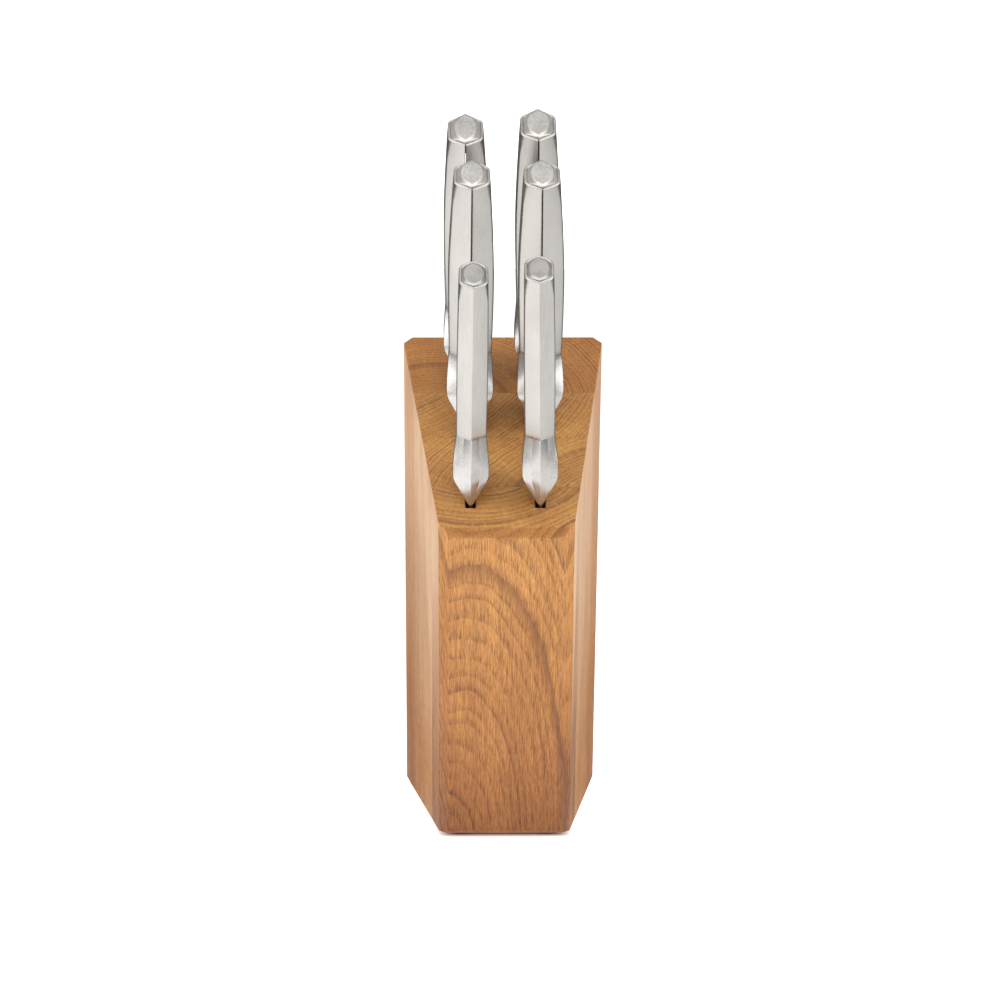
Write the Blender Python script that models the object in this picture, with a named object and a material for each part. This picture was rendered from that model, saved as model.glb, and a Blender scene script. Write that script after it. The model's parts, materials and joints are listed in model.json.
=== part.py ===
"""Knife block with six steel-handled knives.

The block leans forward: it is glued up from four hardwood staves whose long
edges tilt toward -Y, its base is level on four press-in rubber feet, and its
end-grain top slopes down to the front. Two columns of three blind slots run
along the lean. Each knife is a forged blade with an integral wedge bolster,
two pressed half-shell grips that meet on the mid-plane, and an end cap.
"""

import math

import bmesh
import bpy
from mathutils import Matrix, Vector

MM = 0.001

# Block
LEAN = math.radians(25.0)  # long edges, from upright toward the front
TOP_SLOPE = math.radians(32.0)  # top face, from level down to the front
BACK_LENGTH = 241.2 * MM  # back face, base to top
DEPTH = 143.8 * MM  # front face to back face, square to the long edges
BACK_WIDTH = 91.1 * MM
FRONT_WIDTH = 56.8 * MM
STAVE_SHARES = (0.216, 0.244, 0.231, 0.309)  # of DEPTH, front to back
FRONT_CHAMFER = (6.2 * MM, 3.5 * MM)  # front upright corners: along depth, inward
BACK_CHAMFER = 6.2 * MM
TOP_FRONT_CHAMFER = 3.4 * MM
TOP_BACK_CHAMFER = 2.0 * MM
BASE_FRONT_CHAMFER = 1.5 * MM

# Feet
FOOT_LIFT = 1.5 * MM  # base of the wood above the ground
FOOT_HEAD = 13.0 * MM
FOOT_PLUG = 7.0 * MM
FOOT_PLUG_LENGTH = 6.0 * MM

# Slots
SLOT_WIDTH = 4.4 * MM
SLOT_END_PLAY = 0.6 * MM  # ahead of the edge and behind the spine
SLOT_TIP_PLAY = 3.0 * MM  # under the tip
SLOT_SIDE_PLAY = 0.3 * MM  # beside the tip of a blade that leans fully over
SEAT_PLAY = 0.2 * MM  # beside a bolster's shoulder where it enters a slot
COLUMN = 15.4 * MM  # slot centre from the middle of the block
ROWS = (17.3 * MM, 68.8 * MM, 103.8 * MM)  # bolster points, from the front along the top

# Clearances
GAP = 0.3 * MM  # between pieces that touch
GLUE = 0.3 * MM  # between staves

# Handles
BUTT_SLOPE = math.radians(8.0)
SHELL_WALL = 1.4 * MM
BOLSTER_WALL = 2.2 * MM
CAP_BEVEL = 2.0 * MM
CAP_PLUG = 4.0 * MM
TANG_THICKNESS = 2.4 * MM
TANG_WIDTH = 10.0 * MM
TANG_REACH = 14.0 * MM  # into the grip

LARGE = {
    "length": 118.9 * MM,  # bolster point to butt, along the front ridge
    "wedge": 16.0 * MM,
    "crease": 35.5 * MM,
    "bolster_width": 20.4 * MM,
    "waist": 18.6 * MM,
    "swell": 19.8 * MM,
    "butt": 15.6 * MM,
    "height": 25.0 * MM,
    "butt_height": 23.4 * MM,
    "recess": 3.8 * MM,
    "butt_recess": 2.0 * MM,
    "facet": 5.6 * MM,
}
SMALL = {
    "length": 105.1 * MM,
    "wedge": 11.4 * MM,
    "crease": 30.6 * MM,
    "bolster_width": 15.6 * MM,
    "waist": 12.8 * MM,
    "swell": 13.2 * MM,
    "butt": 12.4 * MM,
    "height": 21.0 * MM,
    "butt_height": 20.2 * MM,
    "recess": 3.0 * MM,
    "butt_recess": 2.0 * MM,
    "facet": 3.8 * MM,
}
POINT_HALF = 0.5 * MM  # half width of the bolster where it meets the blade

LARGE_BACK = {**LARGE, "butt_height": 25.4 * MM}
LARGE_LONG = {**LARGE_BACK, "length": 121.2 * MM}
SMALL_LONG = {**SMALL, "length": 107.6 * MM}

# name: handle, row, side (-1 left), offset from the column, lean as a share of the slot's play,
# blade length, heel ahead of the bolster point, spine behind it, tip style
KNIVES = {
    "chef_knife": (LARGE, 1, -1, 0.0, 0.95592, 178.0 * MM, 17.0 * MM, 24.0 * MM, "point"),
    "santoku_knife": (LARGE, 1, 1, 0.1 * MM, -0.22824, 170.0 * MM, 17.0 * MM, 24.0 * MM, "sheep"),
    "carving_knife": (LARGE_BACK, 2, -1, -1.0 * MM, -0.96666, 200.0 * MM, 0.0, 26.0 * MM, "point"),
    "bread_knife": (LARGE_LONG, 2, 1, -0.4 * MM, -0.96666, 200.0 * MM, 0.0, 28.0 * MM, "serrated"),
    "utility_knife": (SMALL, 0, -1, 0.1 * MM, 0.96668, 120.0 * MM, 0.0, 20.0 * MM, "point"),
    "paring_knife": (SMALL_LONG, 0, 1, -0.8 * MM, -0.96671, 90.0 * MM, 0.0, 19.0 * MM, "point"),
}
HEEL_DROP = 4.6 * MM  # heel of a deep blade below the bolster point
BLADE_SPINE = 2.2 * MM
BLADE_TIP = 1.2 * MM
BLADE_EDGE = 0.4 * MM
EDGE_SETBACK = 0.7 * MM  # edge behind the bolster point
SCALLOP_PITCH = 10.0 * MM
SCALLOP_DEPTH = 1.0 * MM

# Derived
TOP_TILT = TOP_SLOPE - LEAN  # top face against a square cut
STAVE_FACES = [-DEPTH * (1.0 - sum(STAVE_SHARES[:i])) for i in range(5)]


def material(name, colour, metallic, roughness):
    """Principled material with a plain colour."""
    mat = bpy.data.materials.new(name)
    mat.use_nodes = True
    shader = mat.node_tree.nodes["Principled BSDF"]
    shader.inputs["Base Color"].default_value = (*colour, 1.0)
    shader.inputs["Metallic"].default_value = metallic
    shader.inputs["Roughness"].default_value = roughness
    mat.diffuse_color = (*colour, 1.0)
    return mat


def half_width(y):
    """Half width of the block at local depth y (0 back, -DEPTH front)."""
    share = -y / DEPTH
    return 0.5 * (BACK_WIDTH + (FRONT_WIDTH - BACK_WIDTH) * share)


def top_z(y):
    """Height of the top face along the lean, at local depth y."""
    return BACK_LENGTH + y * math.tan(TOP_TILT)


def base_z(y):
    """Height of the level base along the lean, at local depth y."""
    return -y * math.tan(LEAN)


def new_object(name, bm, parent, collection, mat=None):
    """Turn a bmesh into an object of the given collection and parent."""
    bmesh.ops.recalc_face_normals(bm, faces=bm.faces)
    mesh = bpy.data.meshes.new(name)
    bm.to_mesh(mesh)
    bm.free()
    obj = bpy.data.objects.new(name, mesh)
    obj.parent = parent
    collection.objects.link(obj)
    if mat is not None:
        mesh.materials.append(mat)
    return obj


def make_cutter(obj):
    """Mark an object as a cutter."""
    obj.hide_render = True
    obj.display_type = "WIRE"
    return obj


def boolean(obj, other, operation):
    """Add an exact Boolean with another object."""
    mod = obj.modifiers.new(other.name, "BOOLEAN")
    mod.operation = operation
    mod.object = other
    return mod


def slice_off(bm, point, normal):
    """Cut a closed bmesh with a plane, drop the side the normal points to, close it."""
    geom = bm.verts[:] + bm.edges[:] + bm.faces[:]
    bmesh.ops.bisect_plane(
        bm, geom=geom, dist=1e-7, plane_co=point, plane_no=normal, clear_outer=True
    )
    rim = [e for e in bm.edges if e.is_boundary]
    bmesh.ops.holes_fill(bm, edges=rim)


def loft(rings):
    """Closed bmesh through rings with equal numbers of points."""
    bm = bmesh.new()
    loops = [[bm.verts.new(p) for p in ring] for ring in rings]
    count = len(loops[0])
    for low, high in zip(loops, loops[1:]):
        for i in range(count):
            j = (i + 1) % count
            bm.faces.new((low[i], low[j], high[j], high[i]))
    bm.faces.new(loops[0][::-1])
    bm.faces.new(loops[-1])
    return bm


def box(low, high):
    """Closed bmesh of a box between two corners."""
    bm = bmesh.new()
    low = Vector(low)
    high = Vector(high)
    size = Matrix.Diagonal((*(high - low), 1.0))
    place = Matrix.Translation((low + high) / 2.0)
    bmesh.ops.create_cube(bm, size=1.0, matrix=place @ size)
    return bm


def stave_outline(index):
    """Plan of one stave, square to the lean."""
    front = STAVE_FACES[index]
    back = STAVE_FACES[index + 1]
    if index > 0:
        front += GLUE / 2.0
    if index < 3:
        back -= GLUE / 2.0
    right = []
    if index == 0:
        along, inward = FRONT_CHAMFER
        right.append((half_width(front) - inward, front))
        right.append((half_width(front + along), front + along))
    else:
        right.append((half_width(front), front))
    if index == 3:
        right.append((half_width(back - BACK_CHAMFER), back - BACK_CHAMFER))
        right.append((half_width(back) - BACK_CHAMFER, back))
    else:
        right.append((half_width(back), back))
    left = [(-x, y) for x, y in reversed(right)]
    return right + left


def build_stave(name, index, frame, collection, mat):
    """One stave: its plan extruded along the lean, cut level below and sloped above."""
    bm = bmesh.new()
    plan = bm.faces.new([bm.verts.new((x, y, -0.05)) for x, y in stave_outline(index)])
    grown = bmesh.ops.extrude_face_region(bm, geom=[plan])
    moved = [v for v in grown["geom"] if isinstance(v, bmesh.types.BMVert)]
    bmesh.ops.translate(bm, vec=(0.0, 0.0, BACK_LENGTH + 0.1), verts=moved)
    bmesh.ops.recalc_face_normals(bm, faces=bm.faces)
    down = Vector((0.0, -math.sin(LEAN), -math.cos(LEAN)))
    slice_off(bm, (0.0, 0.0, 0.0), down)
    up = Vector((0.0, -math.sin(TOP_TILT), math.cos(TOP_TILT)))
    slice_off(bm, (0.0, 0.0, BACK_LENGTH), up)
    if index == 0:
        corner = Vector((0.0, -DEPTH, top_z(-DEPTH) - TOP_FRONT_CHAMFER))
        bevel = up + Vector((0.0, -1.0, 0.0))
        slice_off(bm, corner, bevel)
        corner = Vector((0.0, -DEPTH, base_z(-DEPTH) + BASE_FRONT_CHAMFER))
        slice_off(bm, corner, down + Vector((0.0, -1.0, 0.0)))
    if index == 3:
        corner = Vector((0.0, 0.0, BACK_LENGTH - TOP_BACK_CHAMFER))
        bevel = up + Vector((0.0, 1.0, 0.0))
        slice_off(bm, corner, bevel)
    return new_object(name, bm, frame, collection, mat)


def section(width, belly, spine, facet):
    """Six-sided handle section: ridges front and back, flats at the sides."""
    half = width / 2.0
    return [
        Vector((0.0, belly)),
        Vector((half, belly + facet)),
        Vector((half, spine - facet)),
        Vector((0.0, spine)),
        Vector((-half, spine - facet)),
        Vector((-half, belly + facet)),
    ]


def inset(points, distance):
    """Convex outline moved inward by a distance."""
    lines = []
    count = len(points)
    for i in range(count):
        a = points[i]
        b = points[(i + 1) % count]
        along = (b - a).normalized()
        inward = Vector((-along.y, along.x))
        lines.append((a + inward * distance, along))
    result = []
    for i in range(count):
        p, d = lines[i - 1]
        q, e = lines[i]
        cross = d.x * e.y - d.y * e.x
        t = ((q.x - p.x) * e.y - (q.y - p.y) * e.x) / cross
        result.append(p + d * t)
    return result


def half_section(points, wall, side):
    """Right or left half of a hollow section, open at the mid-plane."""
    inner = inset(points, wall)
    cut = GAP / 2.0

    def clip(ring):
        ridge, shoulder, back_shoulder, back_ridge = ring[0], ring[1], ring[2], ring[3]
        front = ridge.lerp(shoulder, cut / shoulder.x)
        back = back_ridge.lerp(back_shoulder, cut / back_shoulder.x)
        return [front, shoulder, back_shoulder, back]

    ring = clip(points) + clip(inner)[::-1]
    return [Vector((side * p.x, p.y)) for p in ring]


def around(points, centre, count):
    """Points of a convex outline met by evenly turned rays from its centre."""
    hits = []
    for k in range(count):
        angle = 2.0 * math.pi * k / count - math.pi / 2.0
        ray = Vector((math.cos(angle), math.sin(angle)))
        best = None
        for i in range(len(points)):
            a = points[i] - centre
            edge = points[(i + 1) % len(points)] - centre - a
            cross = ray.x * edge.y - ray.y * edge.x
            if abs(cross) < 1e-12:
                continue
            reach = (a.x * edge.y - a.y * edge.x) / cross
            share = (a.x * ray.y - a.y * ray.x) / cross
            if reach > 0.0 and -1e-6 <= share <= 1.0 + 1e-6:
                best = reach if best is None else min(best, reach)
        hits.append(centre + ray * best)
    return hits


def bolster_sections(h):
    """Heights and sections of the bolster, point to crease."""
    wedge = h["wedge"]
    crease = h["crease"]
    rise = crease - wedge
    width = h["bolster_width"]
    tall = h["height"]
    facet = h["facet"]
    waist = h["waist"]
    rows = [
        (0.0, 2.0 * POINT_HALF, 0.0, facet),
        (wedge, width, 0.02 * h["recess"], facet),
        (wedge + 0.30 * rise, width, 0.15 * h["recess"], facet),
        (wedge + 0.60 * rise, 0.45 * waist + 0.55 * width, 0.50 * h["recess"], facet),
        (wedge + 0.85 * rise, 0.85 * waist + 0.15 * width, 0.85 * h["recess"], facet),
        (crease, waist, h["recess"], facet),
    ]
    return [(z, section(w, y, tall, f)) for z, w, y, f in rows]


def grip_row(h, share):
    """Height and section of the grip at a share of its length from the crease."""
    crease = h["crease"]
    end = h["length"] - CAP_BEVEL
    z = crease + (end - crease) * share
    swell = math.sin(math.pi * min(1.0, share / 0.45) / 2.0)
    fall = max(0.0, (share - 0.45) / 0.55)
    width = h["waist"] + (h["swell"] - h["waist"]) * swell
    width -= (h["swell"] - h["butt"]) * fall**1.6
    ease = 1.0 - (1.0 - min(1.0, share / 0.25)) ** 2
    belly = h["recess"] + (0.75 * h["recess"] - h["recess"]) * ease
    belly += (h["butt_recess"] - 0.75 * h["recess"]) * share
    spine = h["height"] + (h["butt_recess"] + h["butt_height"] - h["height"]) * share
    return z, section(width, belly, spine, h["facet"])


def lift(points, z, slope=0.0):
    """Place a plan outline at a height, or on a slope that starts at its front."""
    front = min(p.y for p in points)
    return [(p.x, p.y, z + (p.y - front) * math.tan(slope)) for p in points]


def build_grip(name, h, side, frame, collection, mat):
    """Half-shell grip, crease to butt."""
    rings = []
    shares = (0.0, 0.06, 0.14, 0.25, 0.36, 0.48, 0.60, 0.72, 0.84, 0.94, 1.0)
    for share in shares:
        z, points = grip_row(h, share)
        if share == 0.0:
            z += GAP
        if share == 1.0:
            z -= GAP
        slope = BUTT_SLOPE * max(0.0, (share - 0.84) / 0.16)
        rings.append(lift(half_section(points, SHELL_WALL, side), z, slope))
    return new_object(name, loft(rings), frame, collection, mat)


def build_cap(name, h, frame, collection, mat):
    """End cap: plug inside the shells, full outline, bevel up to a rounded flat."""
    z, points = grip_row(h, 1.0)
    low = points[0].y
    high = points[3].y
    centre = Vector((0.0, (low + high) / 2.0))
    plug = inset(points, SHELL_WALL + GAP)
    tall = (high - low) / 2.0
    wide = points[1].x
    count = 24
    flat = []
    for k in range(count):
        angle = 2.0 * math.pi * k / count - math.pi / 2.0
        flat.append(centre + Vector((0.80 * wide * math.cos(angle), 0.93 * tall * math.sin(angle))))

    def ring(outline, level):
        return [
            (p.x, p.y, z + level + (p.y - low) * math.tan(BUTT_SLOPE)) for p in outline
        ]

    rings = [
        ring(around(plug, centre, count), -CAP_PLUG),
        ring(around(plug, centre, count), 0.0),
        ring(around(points, centre, count), 0.0),
        ring(around(points, centre, count), 0.3 * CAP_BEVEL),
        ring(flat, CAP_BEVEL),
    ]
    return new_object(name, loft(rings), frame, collection, mat)


def blade_rows(length, heel, spine, style):
    """Heights with edge and spine positions of a blade, from inside the bolster to the tip."""
    rows = [(2.0 * MM, EDGE_SETBACK, spine), (-1.8 * MM, EDGE_SETBACK, spine)]
    start = 1.8 * MM
    if heel > 0.0:
        rows.append((-HEEL_DROP, -heel, spine))
        start = HEEL_DROP
    steps = 16
    if style == "serrated":
        steps = int(round((length - start) / SCALLOP_PITCH)) * 4
    front = -heel if heel > 0.0 else EDGE_SETBACK
    tall = spine - front
    for k in range(1, steps + 1):
        share = k / steps
        z = -start - (length - start) * share
        if style == "sheep":
            edge = front + 0.06 * tall * share**2
            back = spine - 0.86 * tall * max(0.0, (share - 0.72) / 0.28) ** 2.2
        elif style == "serrated":
            edge = front + SCALLOP_DEPTH * abs(math.sin(0.5 * math.pi * k / 2.0))
            back = spine - 0.80 * tall * max(0.0, (share - 0.86) / 0.14) ** 2.0
        else:
            edge = front + 0.80 * tall * max(0.0, (share - 0.30) / 0.70) ** 2.4
            back = spine - 0.12 * tall * share**3
        rows.append((z, edge, back))
    return rows


def build_blade_body(name, length, heel, spine, style, frame, collection):
    """Flat-ground blade: full thickness from the spine, thin at the edge."""
    rings = []
    for z, edge, back in blade_rows(length, heel, spine, style):
        share = max(0.0, -z / length)
        thick = 0.5 * (BLADE_SPINE + (BLADE_TIP - BLADE_SPINE) * share)
        thin = 0.5 * BLADE_EDGE
        grind = edge + 0.55 * (back - edge)
        rings.append(
            [
                (-thin, edge, z),
                (thin, edge, z),
                (thick, grind, z),
                (thick, back, z),
                (-thick, back, z),
                (-thick, grind, z),
            ]
        )
    return make_cutter(new_object(name, loft(rings[::-1]), frame, collection))


def build_blade(name, spec, frame, collection, cutters, mat):
    """Forged blade with its bolster, pocketed from above, and a stub tang."""
    h, length, heel, spine, style = spec
    rings = [lift(points, z) for z, points in bolster_sections(h)]
    obj = new_object(name, loft(rings), frame, collection, mat)
    rows = bolster_sections(h)
    floor = h["wedge"] + 2.0 * MM
    pocket = [lift(inset(rows[2][1], BOLSTER_WALL), floor)]
    for z, points in rows[3:]:
        pocket.append(lift(inset(points, BOLSTER_WALL), z))
    pocket.append(lift(inset(rows[-1][1], BOLSTER_WALL), h["crease"] + 2.0 * MM))
    hollow = make_cutter(new_object(name + "_pocket", loft(pocket), frame, cutters))
    middle = 0.5 * (h["recess"] + h["height"])
    half = TANG_THICKNESS / 2.0
    low = (-half, middle - TANG_WIDTH / 2.0, h["wedge"] - 2.0 * MM)
    high = (half, middle + TANG_WIDTH / 2.0, h["crease"] + TANG_REACH)
    tang = make_cutter(new_object(name + "_tang", box(low, high), frame, cutters))
    body = build_blade_body(name + "_body", length, heel, spine, style, frame, cutters)
    boolean(obj, hollow, "DIFFERENCE")
    boolean(obj, tang, "UNION")
    boolean(obj, body, "UNION")
    return obj


def build_foot(name, place, root, collection, cutters, mat):
    """Press-in rubber foot and its hole."""
    bm = bmesh.new()
    head = FOOT_LIFT - GAP
    profile = [
        (0.0, head + FOOT_PLUG_LENGTH),
        (FOOT_PLUG / 2.0, head + FOOT_PLUG_LENGTH),
        (FOOT_PLUG / 2.0, head),
        (FOOT_HEAD / 2.0, head),
        (FOOT_HEAD / 2.0, 0.0),
        (0.0, 0.0),
    ]
    verts = [bm.verts.new((x, 0.0, z)) for x, z in profile]
    for a, b in zip(verts, verts[1:]):
        bm.edges.new((a, b))
    bmesh.ops.spin(
        bm,
        geom=bm.verts[:] + bm.edges[:],
        cent=(0.0, 0.0, 0.0),
        axis=(0.0, 0.0, 1.0),
        angle=2.0 * math.pi,
        steps=32,
        use_merge=True,
    )
    bmesh.ops.remove_doubles(bm, verts=bm.verts, dist=1e-6)
    foot = new_object(name, bm, root, collection, mat)
    foot.location = place
    hole = bmesh.new()
    bmesh.ops.create_cone(
        hole,
        cap_ends=True,
        segments=32,
        radius1=FOOT_PLUG / 2.0 + GAP,
        radius2=FOOT_PLUG / 2.0 + GAP,
        depth=2.0 * (FOOT_PLUG_LENGTH + GAP),
    )
    cutter = make_cutter(new_object(name + "_hole", hole, root, cutters))
    cutter.location = (place[0], place[1], FOOT_LIFT)
    return foot, cutter


def slot_lean(share, length):
    """Angle of a blade that takes up a share of its slot's play at the tip."""
    play = (SLOT_WIDTH - BLADE_TIP) / 2.0 - SLOT_SIDE_PLAY
    return share * math.atan(play / length)


def seat_height(h):
    """How far a bolster's point stays above the mouth, so its shoulder clears the slot."""
    slope = (h["bolster_width"] / 2.0 - POINT_HALF) / h["wedge"]
    reach = (SLOT_WIDTH / 2.0 - POINT_HALF - SEAT_PLAY) / slope
    rise = (h["height"] - h["facet"]) * math.tan(TOP_TILT)
    return max(0.0, rise - reach)


def main():
    """Build the block and its knives."""
    for old in list(bpy.data.objects):
        bpy.data.objects.remove(old, do_unlink=True)
    parts = bpy.data.collections.new("knife_block_with_knives")
    cutters = bpy.data.collections.new("cutters")
    bpy.context.scene.collection.children.link(parts)
    bpy.context.scene.collection.children.link(cutters)

    oak = [
        material("oak_front", (0.56, 0.27, 0.10), 0.0, 0.42),
        material("oak_mid_front", (0.58, 0.30, 0.12), 0.0, 0.42),
        material("oak_mid_back", (0.54, 0.26, 0.10), 0.0, 0.42),
        material("oak_back", (0.40, 0.17, 0.07), 0.0, 0.42),
    ]
    blade_steel = material("blade_steel", (0.74, 0.72, 0.70), 1.0, 0.28)
    grip_steel = material("grip_steel", (0.72, 0.70, 0.67), 1.0, 0.36)
    cap_steel = material("cap_steel", (0.62, 0.60, 0.56), 1.0, 0.42)
    rubber = material("rubber", (0.03, 0.03, 0.03), 0.0, 0.8)

    root = bpy.data.objects.new("origin", None)
    parts.objects.link(root)
    block = bpy.data.objects.new("block_frame", None)
    parts.objects.link(block)
    block.parent = root
    block.location = (0.0, 0.0, FOOT_LIFT)
    block.rotation_euler = (LEAN, 0.0, 0.0)

    names = ("stave_front", "stave_mid_front", "stave_mid_back", "stave_back")
    staves = [
        build_stave(name, i, block, parts, oak[i]) for i, name in enumerate(names)
    ]

    for name, spec in KNIVES.items():
        h, row, side, offset, lean_share, length, heel, spine, style = spec
        x = side * COLUMN + offset
        y = -DEPTH + ROWS[row] * math.cos(TOP_TILT)
        frame = bpy.data.objects.new(name + "_frame", None)
        parts.objects.link(frame)
        frame.parent = block
        frame.location = (x, y, top_z(y) + seat_height(h))
        frame.rotation_euler = (0.0, slot_lean(lean_share, length), 0.0)
        blade_spec = (h, length, heel, spine, style)
        build_blade(name + "_blade", blade_spec, frame, parts, cutters, blade_steel)
        build_grip(name + "_grip_right", h, 1.0, frame, parts, grip_steel)
        build_grip(name + "_grip_left", h, -1.0, frame, parts, grip_steel)
        build_cap(name + "_end_cap", h, frame, parts, cap_steel)
        front = y - (heel if heel > 0.0 else 0.0) - SLOT_END_PLAY
        back = y + max(spine, h["height"]) + SLOT_END_PLAY
        low = (x - SLOT_WIDTH / 2.0, front, top_z(y) - length - SLOT_TIP_PLAY)
        high = (x + SLOT_WIDTH / 2.0, back, BACK_LENGTH + 0.02)
        slot = make_cutter(new_object(name + "_slot", box(low, high), block, cutters))
        for i, stave in enumerate(staves):
            if front < STAVE_FACES[i + 1] and back > STAVE_FACES[i]:
                boolean(stave, slot, "DIFFERENCE")

    front_y = -(DEPTH - 12.0 * MM) / math.cos(LEAN)
    back_y = -14.0 * MM
    for label, y, inset_x in (("front", front_y, 11.0 * MM), ("back", back_y, 13.0 * MM)):
        stave = staves[0] if label == "front" else staves[3]
        for side_label, side in (("left", -1.0), ("right", 1.0)):
            x = side * (half_width(y * math.cos(LEAN)) - inset_x)
            name = "foot_" + label + "_" + side_label
            _, hole = build_foot(name, (x, y, 0.0), root, parts, cutters, rubber)
            boolean(stave, hole, "DIFFERENCE")

    # Origin at the middle of the bounding box's underside
    bpy.context.view_layer.update()
    graph = bpy.context.evaluated_depsgraph_get()
    low = [math.inf] * 2
    high = [-math.inf] * 2
    for obj in parts.objects:
        if obj.type != "MESH":
            continue
        shape = obj.evaluated_get(graph)
        for vert in shape.data.vertices:
            point = shape.matrix_world @ vert.co
            for axis in range(2):
                low[axis] = min(low[axis], point[axis])
                high[axis] = max(high[axis], point[axis])
    root.location = (-(low[0] + high[0]) / 2.0, -(low[1] + high[1]) / 2.0, 0.0)
    bpy.context.view_layer.update()


main()
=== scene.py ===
"""Knife block: a forward-leaning block of glued oak staves with six knives.

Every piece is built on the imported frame, in metres, +Z up and -Y to the front.
"""

import json
import math

import bmesh
import bpy
from mathutils import Matrix, Vector


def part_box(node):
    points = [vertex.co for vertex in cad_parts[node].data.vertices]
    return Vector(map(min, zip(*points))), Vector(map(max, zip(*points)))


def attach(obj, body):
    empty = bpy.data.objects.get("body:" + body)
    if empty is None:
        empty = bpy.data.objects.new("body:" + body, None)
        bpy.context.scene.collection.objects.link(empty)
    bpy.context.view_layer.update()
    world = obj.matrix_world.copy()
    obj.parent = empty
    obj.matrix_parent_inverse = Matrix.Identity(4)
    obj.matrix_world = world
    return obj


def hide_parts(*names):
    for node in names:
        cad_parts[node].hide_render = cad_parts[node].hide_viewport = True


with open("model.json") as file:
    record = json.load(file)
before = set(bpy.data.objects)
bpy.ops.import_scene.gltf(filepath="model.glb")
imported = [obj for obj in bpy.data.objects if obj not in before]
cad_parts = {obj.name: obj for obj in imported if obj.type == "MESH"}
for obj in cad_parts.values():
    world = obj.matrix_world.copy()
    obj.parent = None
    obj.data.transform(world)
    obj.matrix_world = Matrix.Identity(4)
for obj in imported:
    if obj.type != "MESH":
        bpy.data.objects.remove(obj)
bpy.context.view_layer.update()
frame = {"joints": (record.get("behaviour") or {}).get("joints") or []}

bl_info = {
    "name": "Knife Block",
    "version": (1, 0, 0),
    "blender": (4, 5, 0),
    "location": "View3D > Sidebar > Knife Block",
    "description": "Laminated oak knife block with six steel-handled knives",
    "category": "Add Mesh",
}

MM = 0.001
STAVES = ("stave_front", "stave_mid_front", "stave_mid_back", "stave_back")
STAVE_SHARES = (0.216, 0.244, 0.231, 0.309)
# Each stave's timber: the pith line at the base (x, y, drift in x and y for each
# millimetre up the grain), ring width, the radius of its darkest ring, how far its
# rings wander, its tone, the height below which painted shade darkens it toward the
# base and the tone it reaches at the base, and its place in the noise; all lengths in millimetres
STAVE_FINISHES = {
    "stave_front": {
        "pith": (-32.5, -150.0, 0.085, 0.295), "ring": 2.7, "dark": 55.0, "sway": 3.5,
        "tone": (1.0, 1.0, 1.0), "foot": (195.0, 0.56), "shift": 11.0,
    },
    "stave_mid_front": {
        "pith": (62.0, -165.0, 0.02, 0.05), "ring": 1.8, "dark": 76.0, "sway": 5.0,
        "tone": (0.97, 0.96, 0.94), "foot": (170.0, 0.92), "shift": 53.0,
    },
    "stave_mid_back": {
        "pith": (-66.0, -8.0, -0.03, 0.02), "ring": 1.7, "dark": 64.0, "sway": 5.0,
        "tone": (0.95, 0.93, 0.90), "foot": (170.0, 0.92), "shift": 97.0,
    },
    "stave_back": {
        "pith": (-30.0, -62.0, 0.0, 0.03), "ring": 1.5, "dark": 33.0, "sway": 3.5,
        "tone": (0.84, 0.74, 0.66), "foot": (170.0, 0.92), "shift": 151.0,
    },
}
ROWS = (17.3 * MM, 68.8 * MM, 103.8 * MM)
FEET = ("foot_front_left", "foot_front_right", "foot_back_left", "foot_back_right")

# Handle sizes: the two patterns the six knives share
LARGE = {
    "length": 118.9 * MM,
    "wedge": 16.0 * MM,
    "crease": 35.5 * MM,
    "bolster_width": 20.4 * MM,
    "waist": 18.6 * MM,
    "swell": 19.8 * MM,
    "butt": 15.6 * MM,
    "height": 25.0 * MM,
    "butt_height": 23.4 * MM,
    "recess": 3.8 * MM,
    "butt_recess": 2.0 * MM,
    "facet": 5.6 * MM,
}
SMALL = {
    "length": 105.1 * MM,
    "wedge": 11.4 * MM,
    "crease": 30.6 * MM,
    "bolster_width": 15.6 * MM,
    "waist": 12.8 * MM,
    "swell": 13.2 * MM,
    "butt": 12.4 * MM,
    "height": 21.0 * MM,
    "butt_height": 20.2 * MM,
    "recess": 3.0 * MM,
    "butt_recess": 2.0 * MM,
    "facet": 3.8 * MM,
}
LARGE_BACK = {**LARGE, "butt_height": 25.4 * MM}
LARGE_LONG = {**LARGE_BACK, "length": 121.2 * MM}
SMALL_LONG = {**SMALL, "length": 107.6 * MM}

# handle, row, slot centre, blade length, heel ahead of the point, spine, tip style
KNIVES = {
    "chef_knife": (LARGE, 1, -15.4 * MM, 178.0 * MM, 17.0 * MM, 24.0 * MM, "point"),
    "santoku_knife": (LARGE, 1, 15.5 * MM, 170.0 * MM, 17.0 * MM, 24.0 * MM, "sheep"),
    "carving_knife": (LARGE_BACK, 2, -16.4 * MM, 200.0 * MM, 0.0, 26.0 * MM, "point"),
    "bread_knife": (LARGE_LONG, 2, 15.0 * MM, 200.0 * MM, 0.0, 28.0 * MM, "serrated"),
    "utility_knife": (SMALL, 0, -15.3 * MM, 120.0 * MM, 0.0, 20.0 * MM, "point"),
    "paring_knife": (SMALL_LONG, 0, 14.6 * MM, 90.0 * MM, 0.0, 19.0 * MM, "point"),
}
SMALL_SWELL = 16.0 * MM  # a handle that swells less than this is a small one

# Chamfers of the block
FRONT_CHAMFER = (6.2 * MM, 3.5 * MM)  # along the depth, inward
BACK_CHAMFER = 6.2 * MM
TOP_FRONT_CHAMFER = 3.4 * MM
TOP_BACK_CHAMFER = 2.0 * MM
BASE_FRONT_CHAMFER = 1.5 * MM
OAK_CREASE = 28.0  # degrees at which an edge shades sharp

# Slots
SLOT_END_PLAY = 0.6 * MM
SLOT_TIP_PLAY = 3.0 * MM
MOUTH_FLARE = 0.4 * MM
MOUTH_DEPTH = 0.35 * MM

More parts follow.
